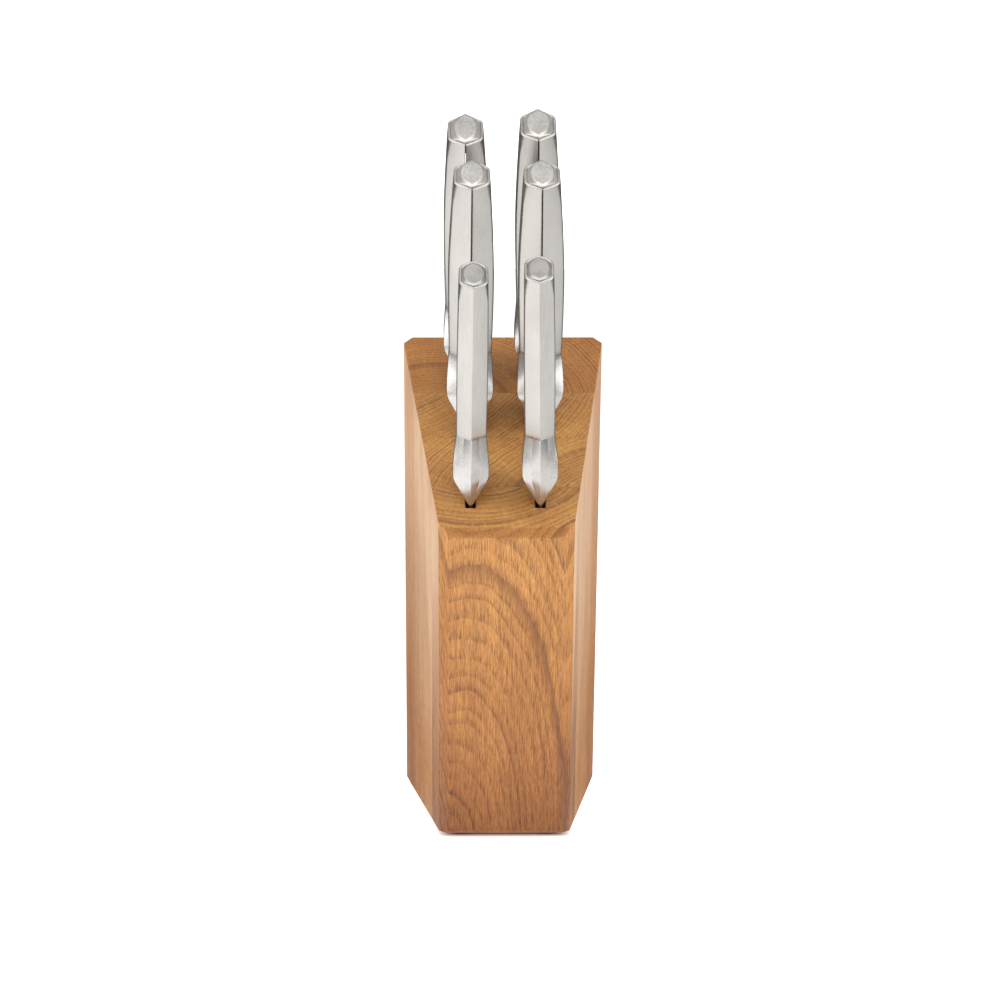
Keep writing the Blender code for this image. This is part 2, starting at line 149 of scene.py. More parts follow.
# Bolsters, shells and caps
POINT_HALF = 0.5 * MM
SHELL_WALL = 1.4 * MM
GRIP_FULLEST = 0.45  # share of the grip's length at which it is widest
BUTT_SLOPE = math.radians(8.0)
LIP_ROUND = 0.62 * MM
LIP_TURN = math.radians(150.0)
LIP_WIDTH = 1.05 * MM
CAP_GROOVE = 0.25 * MM
CAP_BEVEL = 2.0 * MM
CAP_PLUG = 4.0 * MM

# Blades
GRIND_CREASE = 12.0  # degrees at which an edge shades sharp
HEEL_DROP = 4.6 * MM
EDGE_SETBACK = 0.7 * MM
BLADE_INSET = 1.8 * MM  # from the bolster point down to where the edge starts
SCALLOP_ROD = 9.0 * MM  # radius of the rods that cut the scallops
SCALLOP_DEPTH = 1.6 * MM
SCALLOP_TURN = math.radians(24.0)  # how far the rods are turned from square to the blade
SCALLOP_START = 9.0 * MM  # first scallop below the bolster point
SCALLOP_END = 5.0 * MM  # plain edge left at the tip

# Feet: radius and height of each ring, from the plug's top round to the recess
FOOT_ROUND = 48
FOOT_PLUG = 3.5 * MM
FOOT_RECESS = 0.35 * MM
FOOT_RINGS = (
    (3.7 * MM, 1.2 * MM), (6.1 * MM, 1.2 * MM), (6.5 * MM, 0.85 * MM), (6.5 * MM, 0.35 * MM),
    (6.15 * MM, 0.02 * MM), (5.8 * MM, 0.0), (3.4 * MM, 0.0),
)
RIB_LEVEL = 0.2 * MM  # height of the ribs' middle above the floor

# Stage, in metres
CAMERA_TARGET = Vector((0.00019, -0.00221, 0.13358))  # from the block's lower back edge
FLOOR_REACH = 7.0
WALL_REACH = 6.5
WALL_SIDES = 48
FLAG_DISTANCE = 0.8
FLAG_HEIGHT = 0.7
SHEET_LIFT = 0.0006
SHADE_HALF_WIDTH = 0.026  # the floor's dark patch under the block
SHADE_HALF_DEPTH = 0.074
SHADE_MIDDLE = 0.047
SHEET_DARK = 0.30  # what the sheet keeps of its brightness behind and beside the block


# ---------------------------------------------------------------- settings


class KnifeBlockWood(bpy.types.PropertyGroup):
    """Sizes and colours of the block."""

    lean: bpy.props.FloatProperty(
        name="Lean", description="Long edges, from upright toward the front",
        default=math.radians(25.0), subtype="ANGLE",
    )
    top_slope: bpy.props.FloatProperty(
        name="Top Slope", description="Top face, from level down to the front",
        default=math.radians(32.0), subtype="ANGLE",
    )
    back_length: bpy.props.FloatProperty(
        name="Back Length", description="Back face, base to top",
        default=241.2 * MM, unit="LENGTH",
    )
    depth: bpy.props.FloatProperty(
        name="Depth", description="Front face to back face, square to the lean",
        default=143.8 * MM, unit="LENGTH",
    )
    back_width: bpy.props.FloatProperty(
        name="Back Width", description="Width of the back face before its chamfers",
        default=91.1 * MM, unit="LENGTH",
    )
    front_width: bpy.props.FloatProperty(
        name="Front Width", description="Width of the front face before its chamfers",
        default=56.8 * MM, unit="LENGTH",
    )
    slot_width: bpy.props.FloatProperty(
        name="Slot Width", description="Width of the knife slots",
        default=4.4 * MM, unit="LENGTH",
    )
    arris: bpy.props.FloatProperty(
        name="Arris", description="Radius of the sanded edges",
        default=0.4 * MM, unit="LENGTH",
    )
    glue_line: bpy.props.FloatProperty(
        name="Glue Line", description="Thickness of the glue lines",
        default=0.06 * MM, unit="LENGTH",
    )
    # Tone of the end grain; set above one, it also paints extra light on the upward-facing top face
    end_grain_and_top_light: bpy.props.FloatProperty(
        name="End Grain And Top Light", description="End grain tone against the sides, set above one as painted light on the top face",
        default=1.16,
    )
    light_oak: bpy.props.FloatVectorProperty(
        name="Light Oak", description="Colour of the summer wood",
        default=(0.680, 0.322, 0.082), size=3, subtype="COLOR",
    )
    mid_oak: bpy.props.FloatVectorProperty(
        name="Mid Oak", description="Colour of the denser fibres",
        default=(0.505, 0.205, 0.045), size=3, subtype="COLOR",
    )
    streak_oak: bpy.props.FloatVectorProperty(
        name="Streak Oak", description="Colour of the long streaks",
        default=(0.36, 0.15, 0.052), size=3, subtype="COLOR",
    )
    ring_oak: bpy.props.FloatVectorProperty(
        name="Ring Oak", description="Colour of the porous line of a growth ring",
        default=(0.235, 0.088, 0.026), size=3, subtype="COLOR",
    )
    pore_oak: bpy.props.FloatVectorProperty(
        name="Pore Oak", description="Colour inside the open pores",
        default=(0.165, 0.058, 0.018), size=3, subtype="COLOR",
    )
    # Painted sheen: a pale colour blended onto the side walls, more toward the top
    painted_sheen_oak: bpy.props.FloatVectorProperty(
        name="Painted Sheen Oak", description="Colour of the painted sheen blended onto the upper side walls",
        default=(0.98, 0.80, 0.62), size=3, subtype="COLOR",
    )


class KnifeBlockSteel(bpy.types.PropertyGroup):
    """Sizes and colours of the knives."""

    seam: bpy.props.FloatProperty(
        name="Grip Seam", description="Gap between the two halves of a large grip",
        default=0.26 * MM, unit="LENGTH",
    )
    fine_seam: bpy.props.FloatProperty(
        name="Fine Seam", description="Gap between the two halves of a small grip",
        default=0.02 * MM, unit="LENGTH",
    )
    ridge: bpy.props.FloatProperty(
        name="Shoulder Radius", description="Rounding of the long edges of a handle",
        default=0.9 * MM, unit="LENGTH",
    )
    spine: bpy.props.FloatProperty(
        name="Blade Spine", description="Thickness of a blade's spine at the heel",
        default=2.2 * MM, unit="LENGTH",
    )
    tip: bpy.props.FloatProperty(
        name="Blade Tip", description="Thickness of a blade's spine at the tip",
        default=1.2 * MM, unit="LENGTH",
    )
    scallop: bpy.props.FloatProperty(
        name="Scallop Pitch", description="Spacing of the bread knife's scallops",
        default=10.0 * MM, unit="LENGTH",
    )
    grip_steel: bpy.props.FloatVectorProperty(
        name="Grip Steel", description="Colour of the brushed grips",
        default=(0.565, 0.540, 0.510), size=3, subtype="COLOR",
    )
    blade_steel: bpy.props.FloatVectorProperty(
        name="Blade Steel", description="Colour of the ground blades and bolsters",
        default=(0.60, 0.58, 0.555), size=3, subtype="COLOR",
    )
    cap_steel: bpy.props.FloatVectorProperty(
        name="Cap Steel", description="Colour of the end caps",
        default=(0.68, 0.655, 0.62), size=3, subtype="COLOR",
    )


class KnifeBlockStage(bpy.types.PropertyGroup):
    """Camera, floor and light."""

    azimuth: bpy.props.FloatProperty(
        name="Azimuth", description="Camera's turn round the block",
        default=math.radians(-0.80486), subtype="ANGLE",
    )
    elevation: bpy.props.FloatProperty(
        name="Elevation", description="Camera's height above the horizon",
        default=math.radians(5.57909), subtype="ANGLE",
    )
    distance: bpy.props.FloatProperty(
        name="Distance", description="Camera's distance from its target",
        default=1.8907, unit="LENGTH",
    )
    lens: bpy.props.FloatProperty(
        name="Lens", description="Focal length for a 36 mm sensor", default=141.69,
    )
    floor: bpy.props.FloatProperty(
        name="Floor", description="How pale the floor is", default=0.9, subtype="FACTOR",
    )
    glow: bpy.props.FloatProperty(
        name="Floor Glow", description="Light that comes up through the floor", default=0.72,
    )
    sky: bpy.props.FloatProperty(
        name="Surround", description="Strength of the surround's light", default=0.5,
    )
    key: bpy.props.FloatProperty(
        name="Key Light", description="Power of the overhead soft box", default=17.0,
    )
    side: bpy.props.FloatProperty(
        name="Side Lights", description="Power of the two side soft boxes", default=7.5,
    )
    flag_width: bpy.props.FloatProperty(
        name="Flag Width", description="Width of the black flag behind the block",
        default=2.4, unit="LENGTH",
    )
    sheet: bpy.props.FloatProperty(
        name="Bright Sheet", description="Brightness of the sheet the steel mirrors", default=1.40,
    )


# ---------------------------------------------------------------- mesh helpers


def loft(rings):
    """Closed bmesh through rings with equal numbers of points."""
    bm = bmesh.new()
    loops = [[bm.verts.new(p) for p in ring] for ring in rings]
    count = len(loops[0])
    for low, high in zip(loops, loops[1:]):
        for i in range(count):
            j = (i + 1) % count
            bm.faces.new((low[i], low[j], high[j], high[i]))
    bm.faces.new(loops[0][::-1])
    bm.faces.new(loops[-1])
    return bm


def object_from(name, bm, matrix):
    """Object at the origin from a bmesh, with its place in its mesh."""
    bmesh.ops.recalc_face_normals(bm, faces=bm.faces)
    bm.transform(matrix)
    mesh = bpy.data.meshes.new(name)
    bm.to_mesh(mesh)
    bm.free()
    made = bpy.data.objects.new(name, mesh)
    bpy.context.scene.collection.objects.link(made)
    return made


def piece_from(name, bm, matrix, mat, crease):
    """Finished piece: its mesh made one, its material on, its edges sharp past the crease."""
    bmesh.ops.remove_doubles(bm, verts=bm.verts, dist=1e-7)
    piece = object_from(name, bm, matrix)
    piece.data.materials.append(mat)
    piece.data.shade_smooth()
    piece.data.set_sharp_from_angle(angle=math.radians(crease))
    return piece


def settle(piece):
    """Turn a piece's modifiers into plain mesh."""
    graph = bpy.context.evaluated_depsgraph_get()
    mesh = bpy.data.meshes.new_from_object(piece.evaluated_get(graph), depsgraph=graph)
    piece.modifiers.clear()
    old = piece.data
    piece.data = mesh
    bpy.data.meshes.remove(old)


def cut(piece, cutters, overlapping=False):
    """Cut a piece with other objects, then remove them."""
    for cutter in cutters:
        mod = piece.modifiers.new(cutter.name, "BOOLEAN")
        mod.operation = "DIFFERENCE"
        mod.solver = "EXACT"
        mod.use_self = overlapping
        mod.object = cutter
    settle(piece)
    for cutter in cutters:
        bpy.data.objects.remove(cutter)


def modifier_tree(name, inputs):
    """Geometry Nodes tree with named inputs, its two end nodes, and its input sockets."""
    tree = bpy.data.node_groups.new(name, "GeometryNodeTree")
    face = tree.interface
    face.new_socket("Geometry", in_out="INPUT", socket_type="NodeSocketGeometry")
    sockets = [
        face.new_socket(label, in_out="INPUT", socket_type="NodeSocket" + kind)
        for label, kind in inputs
    ]
    face.new_socket("Geometry", in_out="OUTPUT", socket_type="NodeSocketGeometry")
    return tree, tree.nodes.new("NodeGroupInput"), tree.nodes.new("NodeGroupOutput"), sockets


def paint_last(tree, geometry, start, end):
    """Give a tree's geometry the material input and send it out."""
    paint = tree.nodes.new("GeometryNodeSetMaterial")
    tree.links.new(geometry, paint.inputs["Geometry"])
    tree.links.new(start.outputs["Material"], paint.inputs["Material"])
    tree.links.new(paint.outputs["Geometry"], end.inputs["Geometry"])


def soften(points, radii, steps=4):
    """Closed outline with its corners rounded to given radii."""
    result = []
    count = len(points)
    for i in range(count):
        here = points[i]
        radius = radii[i]
        if radius <= 0.0:
            result.append(here.copy())
            continue
        before = points[i - 1] - here
        after = points[(i + 1) % count] - here
        angle = before.angle(after)
        reach = radius / math.tan(angle / 2.0)
        reach = min(reach, 0.42 * before.length, 0.42 * after.length)
        start = here + before.normalized() * reach
        end = here + after.normalized() * reach
        for k in range(steps + 1):
            t = k / steps
            result.append(start.lerp(here, t).lerp(here.lerp(end, t), t))
    return result


def inset(points, distance):
    """Convex outline moved inward by a distance."""
    lines = []
    count = len(points)
    for i in range(count):
        a = points[i]
        b = points[(i + 1) % count]
        along = (b - a).normalized()
        lines.append((a + Vector((-along.y, along.x)) * distance, along))
    result = []
    for i in range(count):
        p, d = lines[i - 1]
        q, e = lines[i]
        cross = d.x * e.y - d.y * e.x
        t = ((q.x - p.x) * e.y - (q.y - p.y) * e.x) / cross
        result.append(p + d * t)
    return result


def between(rows, z):
    """Values of a table of rows at a height, a straight line between rows."""
    if z <= rows[0][0]:
        return rows[0][1:]
    for low, high in zip(rows, rows[1:]):
        if z <= high[0]:
            share = (z - low[0]) / (high[0] - low[0])
            return tuple(a + (b - a) * share for a, b in zip(low[1:], high[1:]))
    return rows[-1][1:]


def eased(rows, z, reach):
    """Values of a table of rows at a height, blended over a reach either way."""
    low = rows[0][0]
    high = rows[-1][0]
    reach = min(reach, z - low, high - z)
    if reach <= 1e-6:
        return between(rows, z)
    samples = [between(rows, z + reach * k / 3.0) for k in range(-3, 4)]
    return tuple(sum(column) / len(samples) for column in zip(*samples))


# ---------------------------------------------------------------- places


def top_z(wood, y):
    """Height of the top face along the lean, at local depth y."""
    return wood.back_length + y * math.tan(wood.top_slope - wood.lean)


def base_z(wood, y):
    """Height of the level base along the lean, at local depth y."""
    return -y * math.tan(wood.lean)


def half_width(wood, y):
    """Half width of the block at local depth y."""
    share = -y / wood.depth
    return 0.5 * (wood.back_width + (wood.front_width - wood.back_width) * share)


def block_frame(wood):
    """Leaning frame of the block, on the lower back edge of the rear stave."""
    low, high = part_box("stave_back")
    place = Matrix.Translation((0.0, high.y, low.z))
    return place @ Matrix.Rotation(wood.lean, 4, "X")


def knife_frame(wood, knife):
    """Frame of a knife: its bolster point at the mouth of its slot, +Z up the handle."""
    _, row, x, _, _, _, _ = KNIVES[knife]
    joint = next(j for j in frame["joints"] if j["child"] == knife)
    tilt = math.asin(joint["axis"][0])
    y = -wood.depth + ROWS[row] * math.cos(wood.top_slope - wood.lean)
    seat = Matrix.Translation((x, y, top_z(wood, y)))
    return block_frame(wood) @ seat @ Matrix.Rotation(tilt, 4, "Y")


# ---------------------------------------------------------------- material helpers


def plug(tree, socket, value):
    """Link a socket or set its value."""
    if isinstance(value, bpy.types.NodeSocket):
        tree.links.new(value, socket)
    else:
        socket.default_value = value


def node(tree, kind, inputs=None, **settings):
    """Add a shader node with its settings and inputs."""
    made = tree.nodes.new(kind)
    for key, value in settings.items():
        setattr(made, key, value)
    for key, value in (inputs or {}).items():
        plug(tree, made.inputs[key], value)
    return made


def maths(tree, operation, a, b=0.0, clamp=False):
    """One number from a Math node."""
    made = node(tree, "ShaderNodeMath", {0: a, 1: b}, operation=operation)
    made.use_clamp = clamp
    return made.outputs[0]


def times(tree, a, b):
    """Two numbers multiplied."""
    return maths(tree, "MULTIPLY", a, b)


def plus(tree, a, b):
    """Two numbers added."""
    return maths(tree, "ADD", a, b)


def vectors(tree, operation, a, b):
    """Two vectors put together by a Vector Math node."""
    made = node(tree, "ShaderNodeVectorMath", {0: a, 1: b}, operation=operation)
    return made.outputs["Value" if operation == "DOT_PRODUCT" else "Vector"]


def scaled(tree, vector, factors):
    """A vector stretched along its three axes."""
    return vectors(tree, "MULTIPLY", vector, factors)


def noise(tree, vector, scale, detail=2.0, rough=0.5):
    """A noise pattern's value."""
    made = node(
        tree, "ShaderNodeTexNoise",
        {"Vector": vector, "Scale": scale, "Detail": detail, "Roughness": rough},
    )
    return made.outputs["Fac"]


def spread(tree, value, low, high, to_low=0.0, to_high=1.0):
    """A number moved from one range to another."""
    made = node(
        tree, "ShaderNodeMapRange",
        {"Value": value, "From Min": low, "From Max": high, "To Min": to_low, "To Max": to_high},
    )
    return made.outputs["Result"]


def blend(tree, factor, a, b, kind="MIX"):
    """Two colours mixed."""
    made = node(tree, "ShaderNodeMix", data_type="RGBA", blend_type=kind)
    plug(tree, made.inputs[0], factor)
    plug(tree, made.inputs[6], a)
    plug(tree, made.inputs[7], b)
    return made.outputs[2]


def ramp(tree, value, stops):
    """A grey ramp through (position, value) stops."""
    made = node(tree, "ShaderNodeValToRGB", {"Fac": value})
    band = made.color_ramp
    while len(band.elements) < len(stops):
        band.elements.new(0.5)
    for element, (place, grey) in zip(band.elements, stops):
        element.position = place
        element.color = (grey, grey, grey, 1.0)
    return made.outputs["Color"]


def leaning_coordinates(tree, wood):
    """Object coordinates turned into the block's lean, in millimetres."""
    origin = block_frame(wood).to_translation()
    where = node(tree, "ShaderNodeTexCoord")
    turned = node(
        tree, "ShaderNodeMapping",
        {
            "Vector": where.outputs["Object"],
            "Location": tuple(origin),
            "Rotation": (wood.lean, 0.0, 0.0),
            "Scale": (MM, MM, MM),
        },
        vector_type="TEXTURE",
    )
    return turned.outputs["Vector"]


def new_material(name):
    """Empty Principled material, its tree and its shader."""
    mat = bpy.data.materials.new(name)
    mat.use_nodes = True
    tree = mat.node_tree
    return mat, tree, tree.nodes["Principled BSDF"]


def oak(name, wood, finish):
    """Solid oak: growth rings round a pith line, open pores, rays and fibres."""
    mat, tree, shader = new_material(name)
    grain = leaning_coordinates(tree, wood)
    shift = finish["shift"]
    moved = vectors(tree, "ADD", grain, (shift, shift * 0.7, shift * 2.3))
    height = node(tree, "ShaderNodeSeparateXYZ", {"Vector": grain}).outputs["Z"]
    sway = node(
        tree, "ShaderNodeTexNoise",
        {"Vector": scaled(tree, moved, (0.05, 0.05, 0.016)), "Scale": 1.0, "Detail": 3.0},
    )
    sway = vectors(tree, "SUBTRACT", sway.outputs["Color"], (0.5, 0.5, 0.5))
    sway = scaled(tree, sway, (finish["sway"], finish["sway"], 0.0))
    wavy = vectors(tree, "ADD", grain, sway)
    x0, y0, dx, dy = finish["pith"]
    across = vectors(tree, "DOT_PRODUCT", wavy, (1.0, 0.0, -dx))
    through = vectors(tree, "DOT_PRODUCT", wavy, (0.0, 1.0, -dy))
    across = maths(tree, "SUBTRACT", across, x0)
    through = maths(tree, "SUBTRACT", through, y0)
    radius = plus(tree, times(tree, across, across), times(tree, through, through))
    radius = maths(tree, "SQRT", radius)
    angle = maths(tree, "ARCTAN2", through, across)

    # How far the face is end grain
    facing = node(tree, "ShaderNodeTexCoord").outputs["Normal"]
    lean = (0.0, -math.sin(wood.lean), math.cos(wood.lean))
    rise = vectors(tree, "DOT_PRODUCT", facing, lean)
    ends = spread(tree, maths(tree, "ABSOLUTE", rise), 0.55, 0.85)
    # Band of the top chamfer facets, darkened below as painted shade
    bevel = times(tree, spread(tree, rise, 0.52, 0.62), spread(tree, rise, 0.80, 0.70))
    # Side walls, for the painted sheen; stronger higher up
    aside = node(tree, "ShaderNodeSeparateXYZ", {"Vector": facing}).outputs["X"]
    wall_sheen = spread(tree, maths(tree, "ABSOLUTE", aside), 0.85, 0.95)
    wall_sheen = times(tree, wall_sheen, spread(tree, height, 70.0, 190.0, 0.03, 0.38))

    # Growth rings of uneven width and strength
    years = maths(tree, "DIVIDE", radius, finish["ring"])
    slow = node(tree, "ShaderNodeTexNoise", {"W": years, "Scale": 0.31}, noise_dimensions="1D")
    years = plus(tree, years, times(tree, slow.outputs["Fac"], 1.6))
    year = maths(tree, "FLOOR", years)
    part = maths(tree, "FRACT", years)
    luck = node(
        tree, "ShaderNodeTexWhiteNoise", {"W": plus(tree, year, shift)},
        noise_dimensions="1D",
    ).outputs["Value"]
    strength = spread(tree, maths(tree, "POWER", luck, 2.0), 0.0, 1.0, 0.20, 0.85)
    line = ramp(
        tree, part, [(0.0, 0.10), (0.06, 1.0), (0.20, 0.80), (0.42, 0.30), (0.75, 0.05), (1.0, 0.0)]
    )
    early = ramp(tree, part, [(0.0, 0.2), (0.06, 1.0), (0.30, 0.85), (0.50, 0.25), (1.0, 0.12)])
    mark = times(tree, line, strength)
    dark = maths(tree, "SUBTRACT", radius, finish["dark"])
    dark = times(tree, spread(tree, dark, -3.4, -0.5), spread(tree, dark, 0.15, -0.35))
    ragged = noise(tree, scaled(tree, moved, (0.9, 0.9, 0.14)), 1.0, 3.0, 0.6)
    mark = times(tree, mark, spread(tree, ragged, 0.25, 0.65, 0.55, 1.15))
    dark = times(tree, dark, spread(tree, ragged, 0.25, 0.6, 0.65, 1.0))
    mark = times(tree, mark, spread(tree, ends, 0.0, 1.0, 1.1, 1.9))
    mark = maths(tree, "MAXIMUM", mark, dark, clamp=True)

    # Open pores: long dashes along the grain, dots across it
    pores = noise(tree, scaled(tree, moved, (3.4, 3.4, 0.17)), 1.0, 1.0, 0.5)
    pores = spread(tree, pores, 0.54, 0.60)
    pores = times(tree, pores, spread(tree, early, 0.0, 1.0, 0.42, 1.0))
    specks = noise(tree, scaled(tree, moved, (4.2, 4.2, 0.34)), 1.0, 1.0, 0.5)
    specks = times(tree, spread(tree, specks, 0.55, 0.63), 0.6)
    hollow = maths(tree, "MAXIMUM", pores, specks)

    # Rays run out from the pith and show as fine lines on the end grain
    fan = node(
        tree, "ShaderNodeCombineXYZ",
        {
            "X": times(tree, angle, 55.0),
            "Y": times(tree, radius, 0.12),
            "Z": times(tree, height, 0.35),
        },
    ).outputs["Vector"]
    rays = spread(tree, noise(tree, fan, 1.0, 1.0), 0.50, 0.64)

    # Fibres, streaks and slow drifts of tone
    fibres = noise(tree, scaled(tree, moved, (1.7, 1.7, 0.05)), 1.0, 3.0, 0.6)
    hairs = noise(tree, scaled(tree, moved, (6.5, 6.5, 0.25)), 1.0, 2.0, 0.5)
    streaks = noise(tree, scaled(tree, moved, (0.42, 0.42, 0.0035)), 1.0, 4.0, 0.62)
    drift = noise(tree, scaled(tree, moved, (0.045, 0.045, 0.012)), 1.0, 2.0, 0.5)

    colour = blend(
        tree, spread(tree, fibres, 0.30, 0.70), (*wood.light_oak, 1.0), (*wood.mid_oak, 1.0)
    )
    colour = blend(
        tree, spread(tree, streaks, 0.50, 0.72, 0.0, 0.50), colour, (*wood.streak_oak, 1.0)
    )
    colour = blend(tree, times(tree, mark, 0.88), colour, (*wood.ring_oak, 1.0))
    flecks = times(tree, rays, spread(tree, ends, 0.0, 1.0, 0.10, 0.35))
    colour = blend(tree, flecks, colour, (*wood.light_oak, 1.0))
    colour = blend(tree, times(tree, hollow, 0.72), colour, (*wood.pore_oak, 1.0))
    # Painted sheen on the side walls
    colour = blend(tree, wall_sheen, colour, (*wood.painted_sheen_oak, 1.0))
    shade = plus(tree, drift, times(tree, hairs, 0.35))
    shade = spread(tree, shade, 0.42, 0.92, 0.84, 1.14)
    # End grain's own tone, lifted above one as painted light on the top face
    shade = times(tree, shade, spread(tree, ends, 0.0, 1.0, 1.0, wood.end_grain_and_top_light))
    # Painted shade on the top chamfer strips
    shade = times(tree, shade, spread(tree, bevel, 0.0, 1.0, 1.0, 0.80))
    # Painted shade: each stave grows darker toward the base, the front stave most
    low, foot = finish["foot"]
    shade = times(tree, shade, spread(tree, height, 66.0, low, foot, 1.0))
    tint = node(
        tree, "ShaderNodeCombineXYZ",
        {key: maths(tree, "POWER", shade, power) for key, power in zip("XYZ", (1.0, 1.40, 1.62))},
    ).outputs["Vector"]
    tint = scaled(tree, tint, finish["tone"])
    colour = blend(tree, 1.0, colour, tint, "MULTIPLY")
    plug(tree, shader.inputs["Base Color"], colour)
    gloss = plus(tree, hollow, times(tree, fibres, 0.5))
    gloss = spread(tree, gloss, 0.1, 1.2, 0.42, 0.66)
    plug(tree, shader.inputs["Roughness"], gloss)
    shader.inputs["Specular IOR Level"].default_value = 0.38
    relief = times(tree, hairs, 0.35)
    relief = maths(tree, "SUBTRACT", relief, plus(tree, hollow, times(tree, mark, 0.25)))
    bump = node(tree, "ShaderNodeBump", {"Strength": 0.6, "Distance": 0.00015, "Height": relief})
    plug(tree, shader.inputs["Normal"], bump.outputs["Normal"])
    return mat


def brushed(name, wood, colour, low, high, stretch, relief):
    """Brushed stainless steel with its scratches along one direction."""
    mat, tree, shader = new_material(name)
    shader.inputs["Metallic"].default_value = 1.0
    grain = leaning_coordinates(tree, wood)
    scratches = noise(tree, scaled(tree, grain, stretch), 1.0, 3.0, 0.6)
    fine = noise(tree, scaled(tree, grain, tuple(2.7 * s for s in stretch)), 1.0, 2.0, 0.5)
    clouds = noise(tree, scaled(tree, grain, (0.11, 0.11, 0.05)), 1.0, 3.0, 0.55)
    coarse = times(tree, scratches, 0.6)
    both = plus(tree, coarse, times(tree, fine, 0.4))
    gloss = spread(tree, both, 0.35, 0.65, low, high)
    gloss = plus(tree, gloss, spread(tree, clouds, 0.3, 0.7, -0.03, 0.04))
    plug(tree, shader.inputs["Roughness"], gloss)
    shade = spread(tree, both, 0.35, 0.65, -0.10, 0.10)
    shade = plus(tree, shade, spread(tree, clouds, 0.3, 0.7, 0.90, 1.05))
    tinted = {axis: times(tree, shade, part) for axis, part in zip("XYZ", colour)}
    tinted = node(tree, "ShaderNodeCombineXYZ", tinted).outputs["Vector"]
    plug(tree, shader.inputs["Base Color"], tinted)
    bump = node(tree, "ShaderNodeBump", {"Strength": relief, "Distance": 0.00004, "Height": both})
    plug(tree, shader.inputs["Normal"], bump.outputs["Normal"])
    return mat


def moulded_rubber(name):
    """Black moulded rubber with a fine grain."""
    mat, tree, shader = new_material(name)
    where = node(tree, "ShaderNodeTexCoord").outputs["Object"]
    grain = noise(tree, where, 2600.0, 2.0, 0.6)
    dust = noise(tree, where, 160.0, 3.0, 0.6)
    black, dusty = (0.018, 0.018, 0.018, 1.0), (0.045, 0.043, 0.04, 1.0)
    colour = blend(tree, spread(tree, dust, 0.4, 0.8), black, dusty)
    plug(tree, shader.inputs["Base Color"], colour)
    plug(tree, shader.inputs["Roughness"], spread(tree, grain, 0.3, 0.7, 0.62, 0.85))
    bump = node(tree, "ShaderNodeBump", {"Strength": 0.3, "Distance": 0.00005, "Height": grain})
    plug(tree, shader.inputs["Normal"], bump.outputs["Normal"])
    return mat


# ---------------------------------------------------------------- the block


def slice_off(bm, point, normal):
    """Cut a closed bmesh with a plane, drop the side the normal points to, close it."""
    geom = bm.verts[:] + bm.edges[:] + bm.faces[:]
    bmesh.ops.bisect_plane(
        bm, geom=geom, dist=1e-7, plane_co=point, plane_no=normal, clear_outer=True
    )
    bmesh.ops.holes_fill(bm, edges=[e for e in bm.edges if e.is_boundary])


def stave_faces(wood):
    """Local depths of the front face, the three glue lines and the back face."""
    return [-wood.depth * (1.0 - sum(STAVE_SHARES[:i])) for i in range(len(STAVES) + 1)]


def stave_outline(wood, index):
    """Plan of one stave, square to the lean."""
    faces = stave_faces(wood)
    last = len(STAVES) - 1
    front = faces[index] + (wood.glue_line / 2.0 if index > 0 else 0.0)
    back = faces[index + 1] - (wood.glue_line / 2.0 if index < last else 0.0)
    right = []
    if index == 0:
        along, inward = FRONT_CHAMFER
        right.append((half_width(wood, front) - inward, front))
        right.append((half_width(wood, front + along), front + along))
    else:
        right.append((half_width(wood, front), front))
    if index == last:
        right.append((half_width(wood, back - BACK_CHAMFER), back - BACK_CHAMFER))
        right.append((half_width(wood, back) - BACK_CHAMFER, back))
    else:
        right.append((half_width(wood, back), back))
    return right + [(-x, y) for x, y in reversed(right)]


def stave_body(wood, index):
    """One stave: extruded along the lean, cut to the base and top, its outer edges sanded."""
    bm = bmesh.new()
    spare = 0.05
    plan = bm.faces.new([bm.verts.new((x, y, -spare)) for x, y in stave_outline(wood, index)])
    grown = bmesh.ops.extrude_face_region(bm, geom=[plan])
    moved = [v for v in grown["geom"] if isinstance(v, bmesh.types.BMVert)]
    bmesh.ops.translate(bm, vec=(0.0, 0.0, wood.back_length + 2.0 * spare), verts=moved)
    bmesh.ops.recalc_face_normals(bm, faces=bm.faces)
    tilt = wood.top_slope - wood.lean
    down = Vector((0.0, -math.sin(wood.lean), -math.cos(wood.lean)))
    up = Vector((0.0, -math.sin(tilt), math.cos(tilt)))
    slice_off(bm, (0.0, 0.0, 0.0), down)
    slice_off(bm, (0.0, 0.0, wood.back_length), up)
    if index == 0:
        corner = Vector((0.0, -wood.depth, top_z(wood, -wood.depth) - TOP_FRONT_CHAMFER))
        slice_off(bm, corner, up + Vector((0.0, -1.0, 0.0)))
        corner = Vector((0.0, -wood.depth, base_z(wood, -wood.depth) + BASE_FRONT_CHAMFER))
        slice_off(bm, corner, down + Vector((0.0, -1.0, 0.0)))
    if index == len(STAVES) - 1:
        corner = Vector((0.0, 0.0, wood.back_length - TOP_BACK_CHAMFER))
        slice_off(bm, corner, up + Vector((0.0, 1.0, 0.0)))
    bm.normal_update()
    glued = []
    for face in bm.faces:
        middle = face.calc_center_median().y
        square = abs(face.normal.y) > 0.999
        inside = -wood.depth + 1.0 * MM < middle < -1.0 * MM
        if square and inside:
            glued.append(face)
    sanded = [e for e in bm.edges if not any(f in glued for f in e.link_faces)]
    bmesh.ops.bevel(
        bm, geom=sanded, offset=wood.arris, segments=3, profile=0.5, affect="EDGES",
        clamp_overlap=True,
    )
    return bm


def slot_reach(wood, knife):
    """Front, back and floor of a knife's slot, in the block's frame."""
    h, row, _, length, heel, spine, _ = KNIVES[knife]
    y = -wood.depth + ROWS[row] * math.cos(wood.top_slope - wood.lean)
    front = y - heel - SLOT_END_PLAY
    back = y + max(spine, h["height"]) + SLOT_END_PLAY
    return front, back, top_z(wood, y) - length - SLOT_TIP_PLAY


